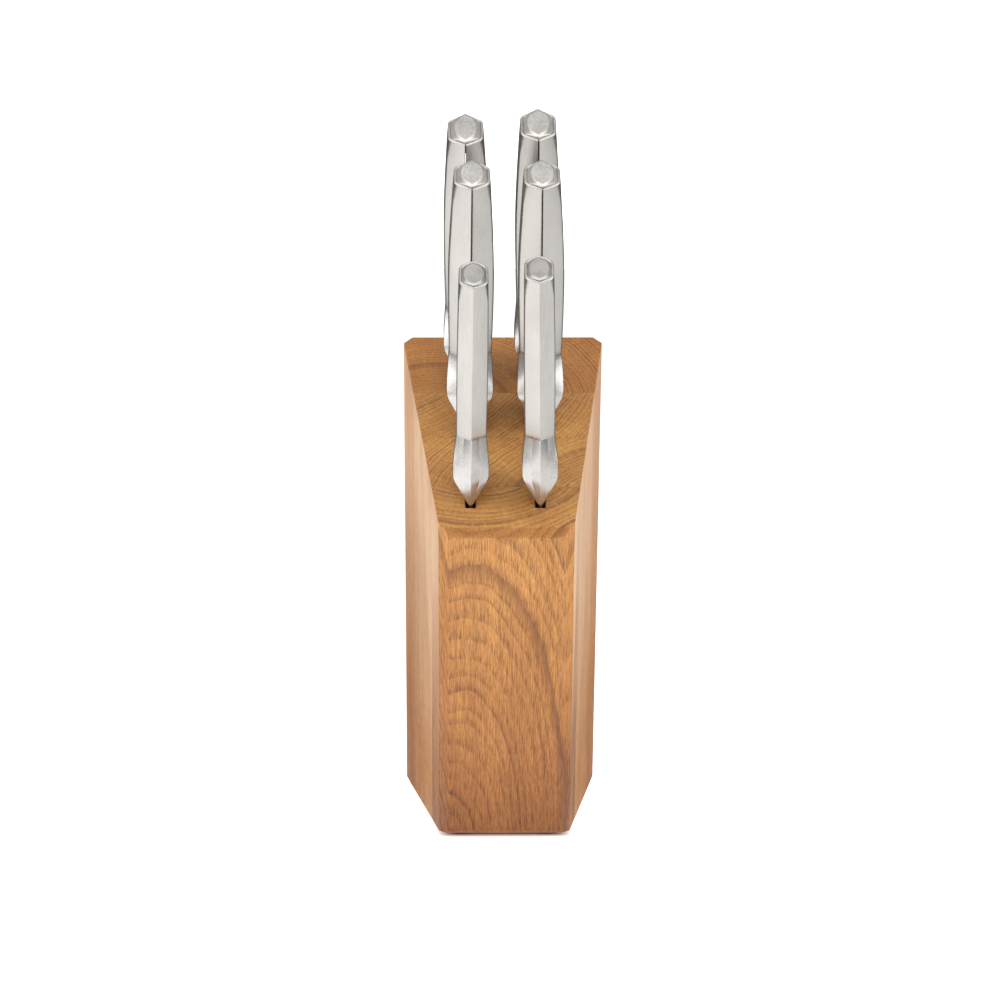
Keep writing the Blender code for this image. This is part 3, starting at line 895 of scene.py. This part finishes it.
def slot_cutter(wood, knife, matrix):
    """Cutter for one slot, flared a little at the mouth."""
    front, back, floor = slot_reach(wood, knife)
    x = KNIVES[knife][2]
    half = wood.slot_width / 2.0
    rings = []
    levels = (
        (None, 0.0), (MOUTH_DEPTH, 0.0), (-0.05 * MM, MOUTH_FLARE), (-4.0 * MM, MOUTH_FLARE)
    )
    for drop, flare in levels:
        ring = []
        for sx, sy in ((-1, 0), (1, 0), (1, 1), (-1, 1)):
            y = (front - flare) if sy == 0 else (back + flare)
            z = floor if drop is None else top_z(wood, y) - drop
            ring.append((x + sx * (half + flare), y, z))
        rings.append(ring)
    return object_from(knife + "_slot", loft(rings), matrix)


class KNIFEBLOCK_OT_staves(bpy.types.Operator):
    """Build the four glued oak staves with their knife slots"""

    bl_idname = "knifeblock.staves"
    bl_label = "Build Staves"

    def execute(self, context):
        wood = context.scene.knife_block_wood
        matrix = block_frame(wood)
        faces = stave_faces(wood)
        for index, name in enumerate(STAVES):
            mat = oak(name.replace("stave", "oak"), wood, STAVE_FINISHES[name])
            piece = piece_from(name + "_oak", stave_body(wood, index), matrix, mat, OAK_CREASE)
            cutters = []
            for knife in KNIVES:
                front, back, _ = slot_reach(wood, knife)
                if front < faces[index + 1] and back > faces[index]:
                    cutters.append(slot_cutter(wood, knife, matrix))
            cut(piece, cutters)
            piece.data.set_sharp_from_angle(angle=math.radians(OAK_CREASE))
            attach(piece, "block")
            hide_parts(name)
        return {"FINISHED"}


# ---------------------------------------------------------------- the feet


def rib_tree():
    """Geometry Nodes tree: short radial ribs set round a ring."""
    inputs = (
        ("Ribs", "Int"), ("Ring Radius", "Float"), ("Rib Size", "Vector"), ("Material", "Material")
    )
    tree, start, end, (count, ring, size, finish) = modifier_tree("foot_ribs", inputs)
    count.default_value = 16
    ring.default_value = 1.9 * MM
    size.default_value = (2.0 * MM, 0.3 * MM, 0.3 * MM)
    circle = tree.nodes.new("GeometryNodeMeshCircle")
    rib = tree.nodes.new("GeometryNodeMeshCube")
    place = tree.nodes.new("GeometryNodeInstanceOnPoints")
    outward = tree.nodes.new("GeometryNodeInputPosition")
    turn = tree.nodes.new("FunctionNodeAlignRotationToVector")
    turn.axis = "X"
    real = tree.nodes.new("GeometryNodeRealizeInstances")
    join = tree.nodes.new("GeometryNodeJoinGeometry")
    link = tree.links.new
    link(start.outputs["Ribs"], circle.inputs["Vertices"])
    link(start.outputs["Ring Radius"], circle.inputs["Radius"])
    link(start.outputs["Rib Size"], rib.inputs["Size"])
    link(circle.outputs["Mesh"], place.inputs["Points"])
    link(rib.outputs["Mesh"], place.inputs["Instance"])
    link(outward.outputs["Position"], turn.inputs["Vector"])
    link(turn.outputs["Rotation"], place.inputs["Rotation"])
    link(place.outputs["Instances"], real.inputs["Geometry"])
    link(start.outputs["Geometry"], join.inputs["Geometry"])
    link(real.outputs["Geometry"], join.inputs["Geometry"])
    paint_last(tree, join.outputs["Geometry"], start, end)
    return tree, finish.identifier


class KNIFEBLOCK_OT_feet(bpy.types.Operator):
    """Build the four press-in rubber feet"""

    bl_idname = "knifeblock.feet"
    bl_label = "Build Feet"

    def execute(self, context):
        mat = moulded_rubber("moulded_rubber")
        tree, finish = rib_tree()
        for name in FEET:
            low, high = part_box(name)
            centre = (low + high) / 2.0
            top = high.z
            profile = [(2.9 * MM, top), (FOOT_PLUG, top - 0.6 * MM), (FOOT_PLUG, 1.3 * MM)]
            profile += [*FOOT_RINGS, (3.1 * MM, FOOT_RECESS), (1.55 * MM, FOOT_RECESS)]
            rings = []
            for radius, z in profile:
                turns = [2.0 * math.pi * k / FOOT_ROUND for k in range(FOOT_ROUND)]
                rings.append([(radius * math.cos(t), radius * math.sin(t), z) for t in turns])
            bm = loft(rings)
            bmesh.ops.translate(bm, verts=bm.verts, vec=(0.0, 0.0, -RIB_LEVEL))
            foot = piece_from(name + "_rubber", bm, Matrix.Identity(4), mat, 35.0)
            mod = foot.modifiers.new("ribs", "NODES")
            mod.node_group = tree
            mod[finish] = mat
            settle(foot)
            foot.data.transform(Matrix.Translation((centre.x, centre.y, RIB_LEVEL)))
            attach(foot, "block")
            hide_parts(name)
        return {"FINISHED"}


# ---------------------------------------------------------------- the handles


def is_small(h):
    """Whether a handle is of the small pattern."""
    return h["swell"] < SMALL_SWELL


def section(width, belly, spine, facet, front_facet=None):
    """Six-sided handle section: ridges front and back, flats at the sides."""
    half = width / 2.0
    front = facet if front_facet is None else front_facet
    return [
        Vector((0.0, belly)),
        Vector((half, belly + front)),
        Vector((half, spine - facet)),
        Vector((0.0, spine)),
        Vector((-half, spine - facet)),
        Vector((-half, belly + front)),
    ]


def bolster_rows(h):
    """Table of a bolster: height, width, belly, spine, facet, front facet."""
    wedge = h["wedge"]
    rise = h["crease"] - wedge
    width = h["bolster_width"]
    waist = h["waist"]
    tall = h["height"]
    facet = h["facet"]
    recess = h["recess"]
    steep = 1.12 * waist / 2.0
    return [
        (0.0, 2.0 * POINT_HALF, 0.0, tall, facet, 0.3 * MM),
        (wedge, width, 0.02 * recess, tall, facet, facet),
        (wedge + 0.30 * rise, width, 0.15 * recess, tall, facet, 0.45 * facet + 0.55 * steep),
        (wedge + 0.60 * rise, 0.45 * waist + 0.55 * width, 0.50 * recess, tall, facet,
         0.10 * facet + 0.90 * steep),
        (wedge + 0.85 * rise, 0.85 * waist + 0.15 * width, 0.85 * recess, tall, facet, steep),
        (h["crease"], waist, recess, tall, facet, steep),
    ]


def grip_values(h, share):
    """Height, width, belly, spine and facet of a grip at a share of its length."""
    crease = h["crease"]
    end = h["length"] - CAP_BEVEL
    z = crease + (end - crease) * share
    swell = math.sin(math.pi * min(1.0, share / GRIP_FULLEST) / 2.0)
    fall = max(0.0, (share - GRIP_FULLEST) / (1.0 - GRIP_FULLEST))
    width = h["waist"] + (h["swell"] - h["waist"]) * swell
    width -= (h["swell"] - h["butt"]) * fall**1.6
    ease = 1.0 - (1.0 - min(1.0, share / 0.25)) ** 2
    belly = h["recess"] - 0.25 * h["recess"] * ease
    belly += (h["butt_recess"] - 0.75 * h["recess"]) * share
    spine = h["height"] + (h["butt_recess"] + h["butt_height"] - h["height"]) * share
    return z, width, belly, spine, h["facet"]


def shell_body(h, side, seam, radius):
    """Half-shell grip with rounded shoulders and a rolled lip round its cap."""
    rings = []
    steps = 44
    lip_steps = 12
    stations = [(0.0, 0.01 * MM, 0.10 * MM), (0.0, 0.06 * MM, 0.03 * MM), (0.0, 0.15 * MM, 0.0)]
    stations += [(k / steps, 0.0, 0.0) for k in range(1, steps)]
    stations += [(1.0, -0.9 * MM, 0.0), (1.0, -0.5 * MM, 0.0)]
    for k in range(lip_steps + 1):
        turn = LIP_TURN * k / lip_steps
        level = 0.25 * MM + LIP_ROUND * math.sin(turn)
        stations.append((1.0, level, LIP_ROUND * (1.0 - math.cos(turn))))
    for share, level, shrink in stations:
        z, width, belly, spine, facet = grip_values(h, share)
        outline = section(width, belly, spine, facet)
        outer = inset(outline, shrink) if shrink > 0.0 else outline
        inner = inset(outline, SHELL_WALL)
        gap = seam / 2.0

        def clip(ring):
            front = ring[0].lerp(ring[1], gap / ring[1].x)
            back = ring[3].lerp(ring[2], gap / ring[2].x)
            return [front, ring[1], ring[2], back]

        turned = (0.26 if is_small(h) else 0.18) * max(0.0, (share - 0.90) / 0.10)
        soft = max(radius, (0.09 + turned) * width)
        lip = 0.40 * MM if seam > 0.1 * MM else 0.0
        points = soften(
            clip(outer) + clip(inner)[::-1],
            [lip, soft, soft * 1.15, lip, 0.0, 0.0, 0.0, 0.0],
        )
        slope = math.tan(BUTT_SLOPE) * max(0.0, (share - 0.84) / 0.16)
        levels = [level] * len(points)
        if share == 1.0:
            levels[-4:] = [min(level, -0.3 * MM)] * 4
        rings.append([
            (side * p.x, p.y, z + up + (p.y - belly) * slope) for p, up in zip(points, levels)
        ])
    return loft(rings)


def bolster_body(h, radius):
    """Wedge bolster: a sharp front ridge, hollow flanks below a crease."""
    rows = bolster_rows(h)
    rings = []
    steps = 46
    for k in range(steps + 1):
        z = h["crease"] * k / steps
        width, belly, spine, facet, front = eased(rows, z, 1.6 * MM)
        share = min(1.0, z / h["wedge"])
        soft = max(0.02 * MM, radius * share)
        ridge = 0.25 * MM * share
        points = section(width, belly, spine, facet, front)
        hollow = 0.07 * width * min(1.0, 1.2 * share)
        right = (points[0] + points[1]) / 2.0 + Vector((-0.35, 1.0)) * 0.3 * hollow
        left = Vector((-right.x, right.y))
        points = [points[0], right, *points[1:], left]
        radii = [ridge, 2.0 * soft, soft, soft * 1.2, 2.0 * ridge, soft * 1.2, soft, 2.0 * soft]
        outline = soften(points, [max(r, 0.01 * MM) for r in radii])
        rings.append([(p.x, p.y, z) for p in outline])
    return loft(rings)


def cast(outline, centre, count):
    """Points of a convex outline met by evenly turned rays from its centre."""
    hits = []
    for k in range(count):
        angle = 2.0 * math.pi * k / count - math.pi / 2.0
        ray = Vector((math.cos(angle), math.sin(angle)))
        best = None
        for i in range(len(outline)):
            a = outline[i] - centre
            edge = outline[(i + 1) % len(outline)] - centre - a
            cross = ray.x * edge.y - ray.y * edge.x
            if abs(cross) < 1e-14:
                continue
            reach = (a.x * edge.y - a.y * edge.x) / cross
            share = (a.x * ray.y - a.y * ray.x) / cross
            if reach > 0.0 and -1e-6 <= share <= 1.000001:
                best = reach if best is None else min(best, reach)
        hits.append(centre + ray * best)
    return hits


def cap_body(h):
    """End cap let into the lip of the shells: a flat between two falling wings."""
    z, width, belly, spine, facet = grip_values(h, 1.0)
    points = section(width, belly, spine, facet)
    centre = Vector((0.0, (belly + spine) / 2.0))
    count = 96
    small = is_small(h)
    ridge, corner = 0.9 * MM, (0.30 if small else 0.22) * width
    radii = [ridge, corner, corner, ridge, corner, corner]
    rim = cast(soften(inset(points, LIP_WIDTH + CAP_GROOVE), radii, 6), centre, count)
    stem = cast(soften(inset(points, SHELL_WALL + 0.3 * MM), radii, 6), centre, count)
    tall = max(abs(p.y - centre.y) for p in rim)
    wide = max(abs(p.x) for p in rim)
    shares, fall = ((0.95, 0.95), 0.5 * MM) if small else ((0.76, 0.99), 1.45 * MM)
    flat = []
    for k, edge in enumerate(rim):
        angle = 2.0 * math.pi * k / count - math.pi / 2.0
        oval = Vector((shares[0] * wide * math.cos(angle), shares[1] * tall * math.sin(angle)))
        reach = 0.955 * (edge - centre).length
        share = reach / (reach**6 + oval.length**6) ** (1.0 / 6.0)
        flat.append(centre + oval * share)

    def level(p):
        top = CAP_BEVEL - (0.95 * MM if small else 0.18 * MM)
        return top - fall * min(1.0, abs(p.x) / wide) ** 1.6

    def ring(outline, height):
        slope = math.tan(BUTT_SLOPE)
        made = []
        for k, p in enumerate(outline):
            lift = height(rim[k]) if callable(height) else height
            made.append((p.x, p.y, z + lift + (p.y - belly) * slope))
        return made

    def mix(share):
        return [a.lerp(b, share) for a, b in zip(rim, flat)]

    # A small cap stays level and low almost to its rim; a large one has falling wings
    crown = CAP_BEVEL - (0.70 * MM if small else 0.0)

    def climb(share):
        return lambda p: level(p) + (crown - level(p)) * share

    rings = [
        ring(stem, -CAP_PLUG),
        ring(stem, -0.6 * MM),
        ring(rim, -0.5 * MM),
        ring(rim, lambda p: level(p) - 0.14 * MM),
        ring([p.lerp(centre, 0.006) for p in rim], lambda p: level(p) - 0.03 * MM),
        ring([p.lerp(centre, 0.015) for p in rim], climb(0.0)),
        ring(mix(0.5), climb(0.47)),
        ring(mix(0.88), climb(0.90)),
        ring(flat, climb(0.98)),
        ring([p.lerp(centre, 0.03) for p in flat], crown),
        ring([p.lerp(centre, 0.06) for p in flat], crown),
        ring([p.lerp(centre, 0.50) for p in flat], crown),
    ]
    return loft(rings)


def edge_and_spine(length, heel, spine, style, z):
    """Edge and spine of a blade at a height below its bolster."""
    start = HEEL_DROP if heel > 0.0 else BLADE_INSET
    front = -heel if heel > 0.0 else EDGE_SETBACK
    share = max(0.0, (-z - start) / (length - start))
    tall = spine - front
    if style == "sheep":
        edge = front + 0.06 * tall * share**2
        back = spine - 0.86 * tall * max(0.0, (share - 0.72) / 0.28) ** 2.2
    elif style == "serrated":
        edge = front + 0.2 * MM
        back = spine - 0.80 * tall * max(0.0, (share - 0.86) / 0.14) ** 2.0
    else:
        edge = front + 0.80 * tall * max(0.0, (share - 0.30) / 0.70) ** 2.4
        back = spine - 0.12 * tall * share**3
    if heel > 0.0 and z > -start:
        drop = max(0.0, (-z - BLADE_INSET) / (start - BLADE_INSET))
        edge = EDGE_SETBACK + (front - EDGE_SETBACK) * drop
    return edge, back


def blade_body(steel, length, heel, spine, style):
    """Ground blade: eased spine, flat grind, and a fine edge bevel."""
    heights = [2.0 * MM, 0.0, -1.0 * MM, -BLADE_INSET]
    if heel > 0.0:
        heights += [-BLADE_INSET - (HEEL_DROP - BLADE_INSET) * k / 5.0 for k in range(1, 6)]
    first = heights[-1]
    steps = 90
    for k in range(1, steps + 1):
        share = k / steps
        heights.append(first - (length + first) * (1.0 - (1.0 - share) ** 1.15))
    rings = []
    for z in heights:
        edge, back = edge_and_spine(length, heel, spine, style, z)
        share = max(0.0, -z / length)
        thick = 0.5 * (steel.spine + (steel.tip - steel.spine) * share)
        tall = max(back - edge, 0.4 * MM)
        back = edge + tall
        grind = edge + 0.55 * tall
        bevel = edge + min(0.9 * MM, 0.25 * tall)
        thin = 0.20 * MM
        ease = min(0.25 * MM, 0.1 * tall)
        rings.append(
            [
                (-0.03 * MM, edge, z),
                (0.03 * MM, edge, z),
                (thin, bevel, z),
                (thick, grind, z),
                (thick, back - ease, z),
                (thick - ease, back, z),
                (ease - thick, back, z),
                (-thick, back - ease, z),
                (-thick, grind, z),
                (-thin, bevel, z),
            ]
        )
    return loft(rings[::-1])


def scallop_tree():
    """Geometry Nodes tree: a row of tilted rods that cut a scalloped edge."""
    inputs = (
        ("Scallops", "Int"), ("Pitch", "Float"), ("Rod Radius", "Float"), ("Material", "Material")
    )
    tree, start, end, sockets = modifier_tree("scallops", inputs)
    line = tree.nodes.new("GeometryNodeMeshLine")
    step = tree.nodes.new("ShaderNodeCombineXYZ")
    back = tree.nodes.new("ShaderNodeMath")
    back.operation = "MULTIPLY"
    back.inputs[1].default_value = -1.0
    rod = tree.nodes.new("GeometryNodeMeshCylinder")
    rod.inputs["Vertices"].default_value = 28
    rod.inputs["Depth"].default_value = 12.0 * MM
    place = tree.nodes.new("GeometryNodeInstanceOnPoints")
    place.inputs["Rotation"].default_value = (0.0, math.radians(90.0), SCALLOP_TURN)
    real = tree.nodes.new("GeometryNodeRealizeInstances")
    link = tree.links.new
    link(start.outputs["Scallops"], line.inputs["Count"])
    link(start.outputs["Pitch"], back.inputs[0])
    link(back.outputs[0], step.inputs["Z"])
    link(step.outputs["Vector"], line.inputs["Offset"])
    link(start.outputs["Rod Radius"], rod.inputs["Radius"])
    link(line.outputs["Mesh"], place.inputs["Points"])
    link(rod.outputs["Mesh"], place.inputs["Instance"])
    link(place.outputs["Instances"], real.inputs["Geometry"])
    paint_last(tree, real.outputs["Geometry"], start, end)
    return tree, [socket.identifier for socket in sockets]


def scallop_cutter(steel, length, mat):
    """Row of rods for the bread knife's edge, in the knife's frame."""
    tree, (count, pitch, radius, finish) = scallop_tree()
    mesh = bpy.data.meshes.new("scallop_rods")
    rods = bpy.data.objects.new("scallop_rods", mesh)
    bpy.context.scene.collection.objects.link(rods)
    mod = rods.modifiers.new("scallops", "NODES")
    mod.node_group = tree
    mod[count] = int((length - SCALLOP_START - SCALLOP_END) / steel.scallop)
    mod[pitch] = steel.scallop
    mod[radius] = SCALLOP_ROD
    mod[finish] = mat
    settle(rods)
    front = EDGE_SETBACK + SCALLOP_DEPTH - SCALLOP_ROD
    rods.data.transform(Matrix.Translation((0.0, front, -SCALLOP_START)))
    return rods


class KNIFEBLOCK_OT_blades(bpy.types.Operator):
    """Build the ground blades and their wedge bolsters"""

    bl_idname = "knifeblock.blades"
    bl_label = "Build Blades"

    def execute(self, context):
        wood = context.scene.knife_block_wood
        steel = context.scene.knife_block_steel
        colour = steel.blade_steel
        ground = brushed("ground_steel", wood, colour, 0.20, 0.34, (1.6, 0.30, 9.0), 0.10)
        forged = brushed("forged_steel", wood, colour, 0.20, 0.27, (2.6, 2.6, 0.10), 0.02)
        for knife, (h, _, _, length, heel, spine, style) in KNIVES.items():
            matrix = knife_frame(wood, knife)
            bolster = piece_from(
                knife + "_bolster", bolster_body(h, steel.ridge), matrix, forged, 34.0
            )
            still = Matrix.Identity(4)
            body = blade_body(steel, length, heel, spine, style)
            blade = piece_from(knife + "_ground_blade", body, still, ground, GRIND_CREASE)
            if style == "serrated":
                cut(blade, [scallop_cutter(steel, length, ground)], overlapping=True)
            blade.data.transform(matrix)
            blade.data.set_sharp_from_angle(angle=math.radians(GRIND_CREASE))
            for piece in (bolster, blade):
                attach(piece, knife)
                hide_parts(knife + "_blade")
        return {"FINISHED"}


class KNIFEBLOCK_OT_grips(bpy.types.Operator):
    """Build the brushed half-shell grips"""

    bl_idname = "knifeblock.grips"
    bl_label = "Build Grips"

    def execute(self, context):
        wood = context.scene.knife_block_wood
        steel = context.scene.knife_block_steel
        mat = brushed("grip_brushed", wood, steel.grip_steel, 0.22, 0.38, (2.6, 2.6, 0.09), 0.14)
        for knife, values in KNIVES.items():
            h = values[0]
            seam = steel.fine_seam if is_small(h) else steel.seam
            for label, side in (("left", -1.0), ("right", 1.0)):
                piece = piece_from(
                    f"{knife}_shell_{label}", shell_body(h, side, seam, steel.ridge),
                    knife_frame(wood, knife), mat, 30.0,
                )
                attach(piece, knife)
                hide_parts(f"{knife}_grip_{label}")
        return {"FINISHED"}


class KNIFEBLOCK_OT_caps(bpy.types.Operator):
    """Build the end caps"""

    bl_idname = "knifeblock.caps"
    bl_label = "Build End Caps"

    def execute(self, context):
        wood = context.scene.knife_block_wood
        steel = context.scene.knife_block_steel
        bright = brushed("cap_brushed", wood, steel.cap_steel, 0.24, 0.38, (3.4, 0.22, 3.4), 0.04)
        # Painted shade: the small caps get a darker copy of the same cap steel
        shaded_cap_steel = tuple(0.72 * share for share in steel.cap_steel)
        shaded_cap = brushed("cap_painted_shade", wood, shaded_cap_steel, 0.24, 0.38, (3.4, 0.22, 3.4), 0.04)
        for knife, values in KNIVES.items():
            mat = shaded_cap if is_small(values[0]) else bright
            piece = piece_from(
                knife + "_cap", cap_body(values[0]), knife_frame(wood, knife), mat, 20.0
            )
            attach(piece, knife)
            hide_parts(knife + "_end_cap")
        return {"FINISHED"}


# ---------------------------------------------------------------- the stage


def soft_box(name, size, power, place, target):
    """Area light turned to a target."""
    data = bpy.data.lights.new(name, "AREA")
    data.shape = "RECTANGLE"
    data.size, data.size_y = size
    data.energy = power
    lamp = bpy.data.objects.new(name, data)
    lamp.location = place
    lamp.rotation_euler = (Vector(target) - Vector(place)).to_track_quat("-Z", "Y").to_euler()
    bpy.context.scene.collection.objects.link(lamp)


def level_corners(reach, height):
    """Corners of a level square card round the block."""
    return [(x, y, height) for x in (-reach, reach) for y in (-reach, reach)]


def card(name, corners, grey, glow):
    """Plain stage card: matt grey, with an even glow where it is lit from behind."""
    mesh = bpy.data.meshes.new(name)
    faces = [(k, k + 1, k + 3, k + 2) for k in range(0, len(corners) - 2, 2)]
    mesh.from_pydata(corners, [], faces)
    made = bpy.data.objects.new(name, mesh)
    mat, _, shader = new_material(name)
    shader.inputs["Base Color"].default_value = (grey, grey, grey, 1.0)
    shader.inputs["Roughness"].default_value = 1.0
    shader.inputs["Specular IOR Level"].default_value = 0.0
    shader.inputs["Emission Color"].default_value = (1.0, 1.0, 1.0, 1.0)
    shader.inputs["Emission Strength"].default_value = glow
    mesh.materials.append(mat)
    bpy.context.scene.collection.objects.link(made)
    return made


def hide(made, *rays):
    """Hide a card from some kinds of ray."""
    for ray in rays:
        setattr(made, "visible_" + ray, False)


def light_table(floor, glow):
    """Let the light through the floor fade out under the block."""
    tree = floor.data.materials[0].node_tree
    where = node(tree, "ShaderNodeTexCoord").outputs["Object"]
    axes = node(tree, "ShaderNodeSeparateXYZ", {"Vector": where}).outputs
    side = maths(tree, "SUBTRACT", maths(tree, "ABSOLUTE", axes["X"]), SHADE_HALF_WIDTH)
    end = maths(tree, "ABSOLUTE", maths(tree, "SUBTRACT", axes["Y"], SHADE_MIDDLE))
    end = maths(tree, "SUBTRACT", end, SHADE_HALF_DEPTH)
    far = maths(tree, "MAXIMUM", side, end)
    shader = tree.nodes["Principled BSDF"]
    plug(tree, shader.inputs["Emission Strength"], spread(tree, far, -0.003, 0.006, 0.0, glow))


def bright_sheet(sheet, glow):
    """Let the sheet glow in front of the block and fall dark behind and beside it."""
    tree = sheet.data.materials[0].node_tree
    where = node(tree, "ShaderNodeTexCoord").outputs["Object"]
    axes = node(tree, "ShaderNodeSeparateXYZ", {"Vector": where}).outputs
    light = spread(tree, axes["Y"], 0.08, -0.10, SHEET_DARK, glow)
    beside = spread(tree, maths(tree, "ABSOLUTE", axes["X"]), 1.10, 0.55, SHEET_DARK, 1.0)
    light = times(tree, light, beside)
    light = times(tree, light, spread(tree, axes["X"], -0.2, 0.2, 1.08, 0.80))
    plug(tree, tree.nodes["Principled BSDF"].inputs["Emission Strength"], light)


class KNIFEBLOCK_OT_stage(bpy.types.Operator):
    """Set up the floor, the light and the camera"""

    bl_idname = "knifeblock.stage"
    bl_label = "Set Up Stage"

    def execute(self, context):
        scene = context.scene
        wood = scene.knife_block_wood
        stage = scene.knife_block_stage
        world = bpy.data.worlds.new("studio")
        scene.world = world
        world.use_nodes = True
        back = world.node_tree.nodes["Background"]
        back.inputs["Color"].default_value = (1.0, 1.0, 1.0, 1.0)
        back.inputs["Strength"].default_value = stage.sky

        floor = card("floor", level_corners(FLOOR_REACH, 0.0), stage.floor, stage.glow)
        light_table(floor, stage.glow)
        hide(floor, "glossy")
        wall = []
        for k in range(WALL_SIDES + 1):
            turn = 2.0 * math.pi * k / WALL_SIDES
            for height in (-0.01, 6.0):
                wall.append((WALL_REACH * math.cos(turn), WALL_REACH * math.sin(turn), height))
        wall = card("white_wall", wall, 1.0, 1.1)
        hide(wall, "diffuse", "glossy", "transmission", "shadow")

        soft_box("overhead_box", (2.0, 2.0), stage.key, (0.0, -0.5, 2.0), (0.0, -0.2, 0.1))
        for label, side in (("left", -1.0), ("right", 1.0)):
            soft_box(
                label + "_box", (1.2, 1.2), stage.side, (side * 1.25, -0.35, 0.62), (0.0, 0.0, 0.2)
            )
        half = stage.flag_width / 2.0
        upright = [(x, FLAG_DISTANCE, z) for x in (-half, half) for z in (0.0, FLAG_HEIGHT)]
        sheet = card("bright_sheet", level_corners(FLOOR_REACH, SHEET_LIFT), 0.0, stage.sheet)
        bright_sheet(sheet, stage.sheet)
        flag = card("black_flag", upright, 0.01, 0.10)
        hide(flag, "camera", "diffuse", "shadow")
        hide(sheet, "camera", "diffuse", "shadow")

        camera = bpy.data.cameras.new("camera")
        camera.sensor_width = 36.0
        camera.lens = stage.lens
        camera.clip_start = 0.05
        camera.clip_end = 100.0
        eye = bpy.data.objects.new("camera", camera)
        scene.collection.objects.link(eye)
        edge = block_frame(wood).to_translation()
        target = Vector((0.0, edge.y, edge.z)) + CAMERA_TARGET
        away = Vector(
            (
                math.sin(stage.azimuth) * math.cos(stage.elevation),
                -math.cos(stage.azimuth) * math.cos(stage.elevation),
                math.sin(stage.elevation),
            )
        )
        eye.location = target + away * stage.distance
        eye.rotation_euler = (-away).to_track_quat("-Z", "Y").to_euler()
        scene.camera = eye
        scene.view_settings.view_transform = "Standard"
        return {"FINISHED"}


class KNIFEBLOCK_PT_panel(bpy.types.Panel):
    """Knife block tools"""

    bl_idname = "KNIFEBLOCK_PT_panel"
    bl_label = "Knife Block"
    bl_space_type = "VIEW_3D"
    bl_region_type = "UI"
    bl_category = "Knife Block"

    def draw(self, context):
        layout = self.layout
        for operator in BUILDERS:
            layout.operator(operator.bl_idname)
        for group in ("knife_block_wood", "knife_block_steel", "knife_block_stage"):
            settings = getattr(context.scene, group)
            box = layout.box()
            for key in settings.__annotations__:
                box.prop(settings, key)


GROUPS = {
    "knife_block_wood": KnifeBlockWood,
    "knife_block_steel": KnifeBlockSteel,
    "knife_block_stage": KnifeBlockStage,
}
BUILDERS = (
    KNIFEBLOCK_OT_staves,
    KNIFEBLOCK_OT_feet,
    KNIFEBLOCK_OT_blades,
    KNIFEBLOCK_OT_grips,
    KNIFEBLOCK_OT_caps,
    KNIFEBLOCK_OT_stage,
)


def register():
    """Register the settings, the operators and the panel."""
    for name, group in GROUPS.items():
        bpy.utils.register_class(group)
        setattr(bpy.types.Scene, name, bpy.props.PointerProperty(type=group))
    for operator in BUILDERS:
        bpy.utils.register_class(operator)
    bpy.utils.register_class(KNIFEBLOCK_PT_panel)


def unregister():
    """Remove everything register added."""
    bpy.utils.unregister_class(KNIFEBLOCK_PT_panel)
    for operator in reversed(BUILDERS):
        bpy.utils.unregister_class(operator)
    for name, group in reversed(list(GROUPS.items())):
        delattr(bpy.types.Scene, name)
        bpy.utils.unregister_class(group)


def main():
    """Build the whole knife block."""
    register()
    bpy.ops.knifeblock.staves()
    bpy.ops.knifeblock.feet()
    bpy.ops.knifeblock.blades()
    bpy.ops.knifeblock.grips()
    bpy.ops.knifeblock.caps()
    bpy.ops.knifeblock.stage()
    bpy.context.view_layer.update()


if __name__ == "__main__":
    main()
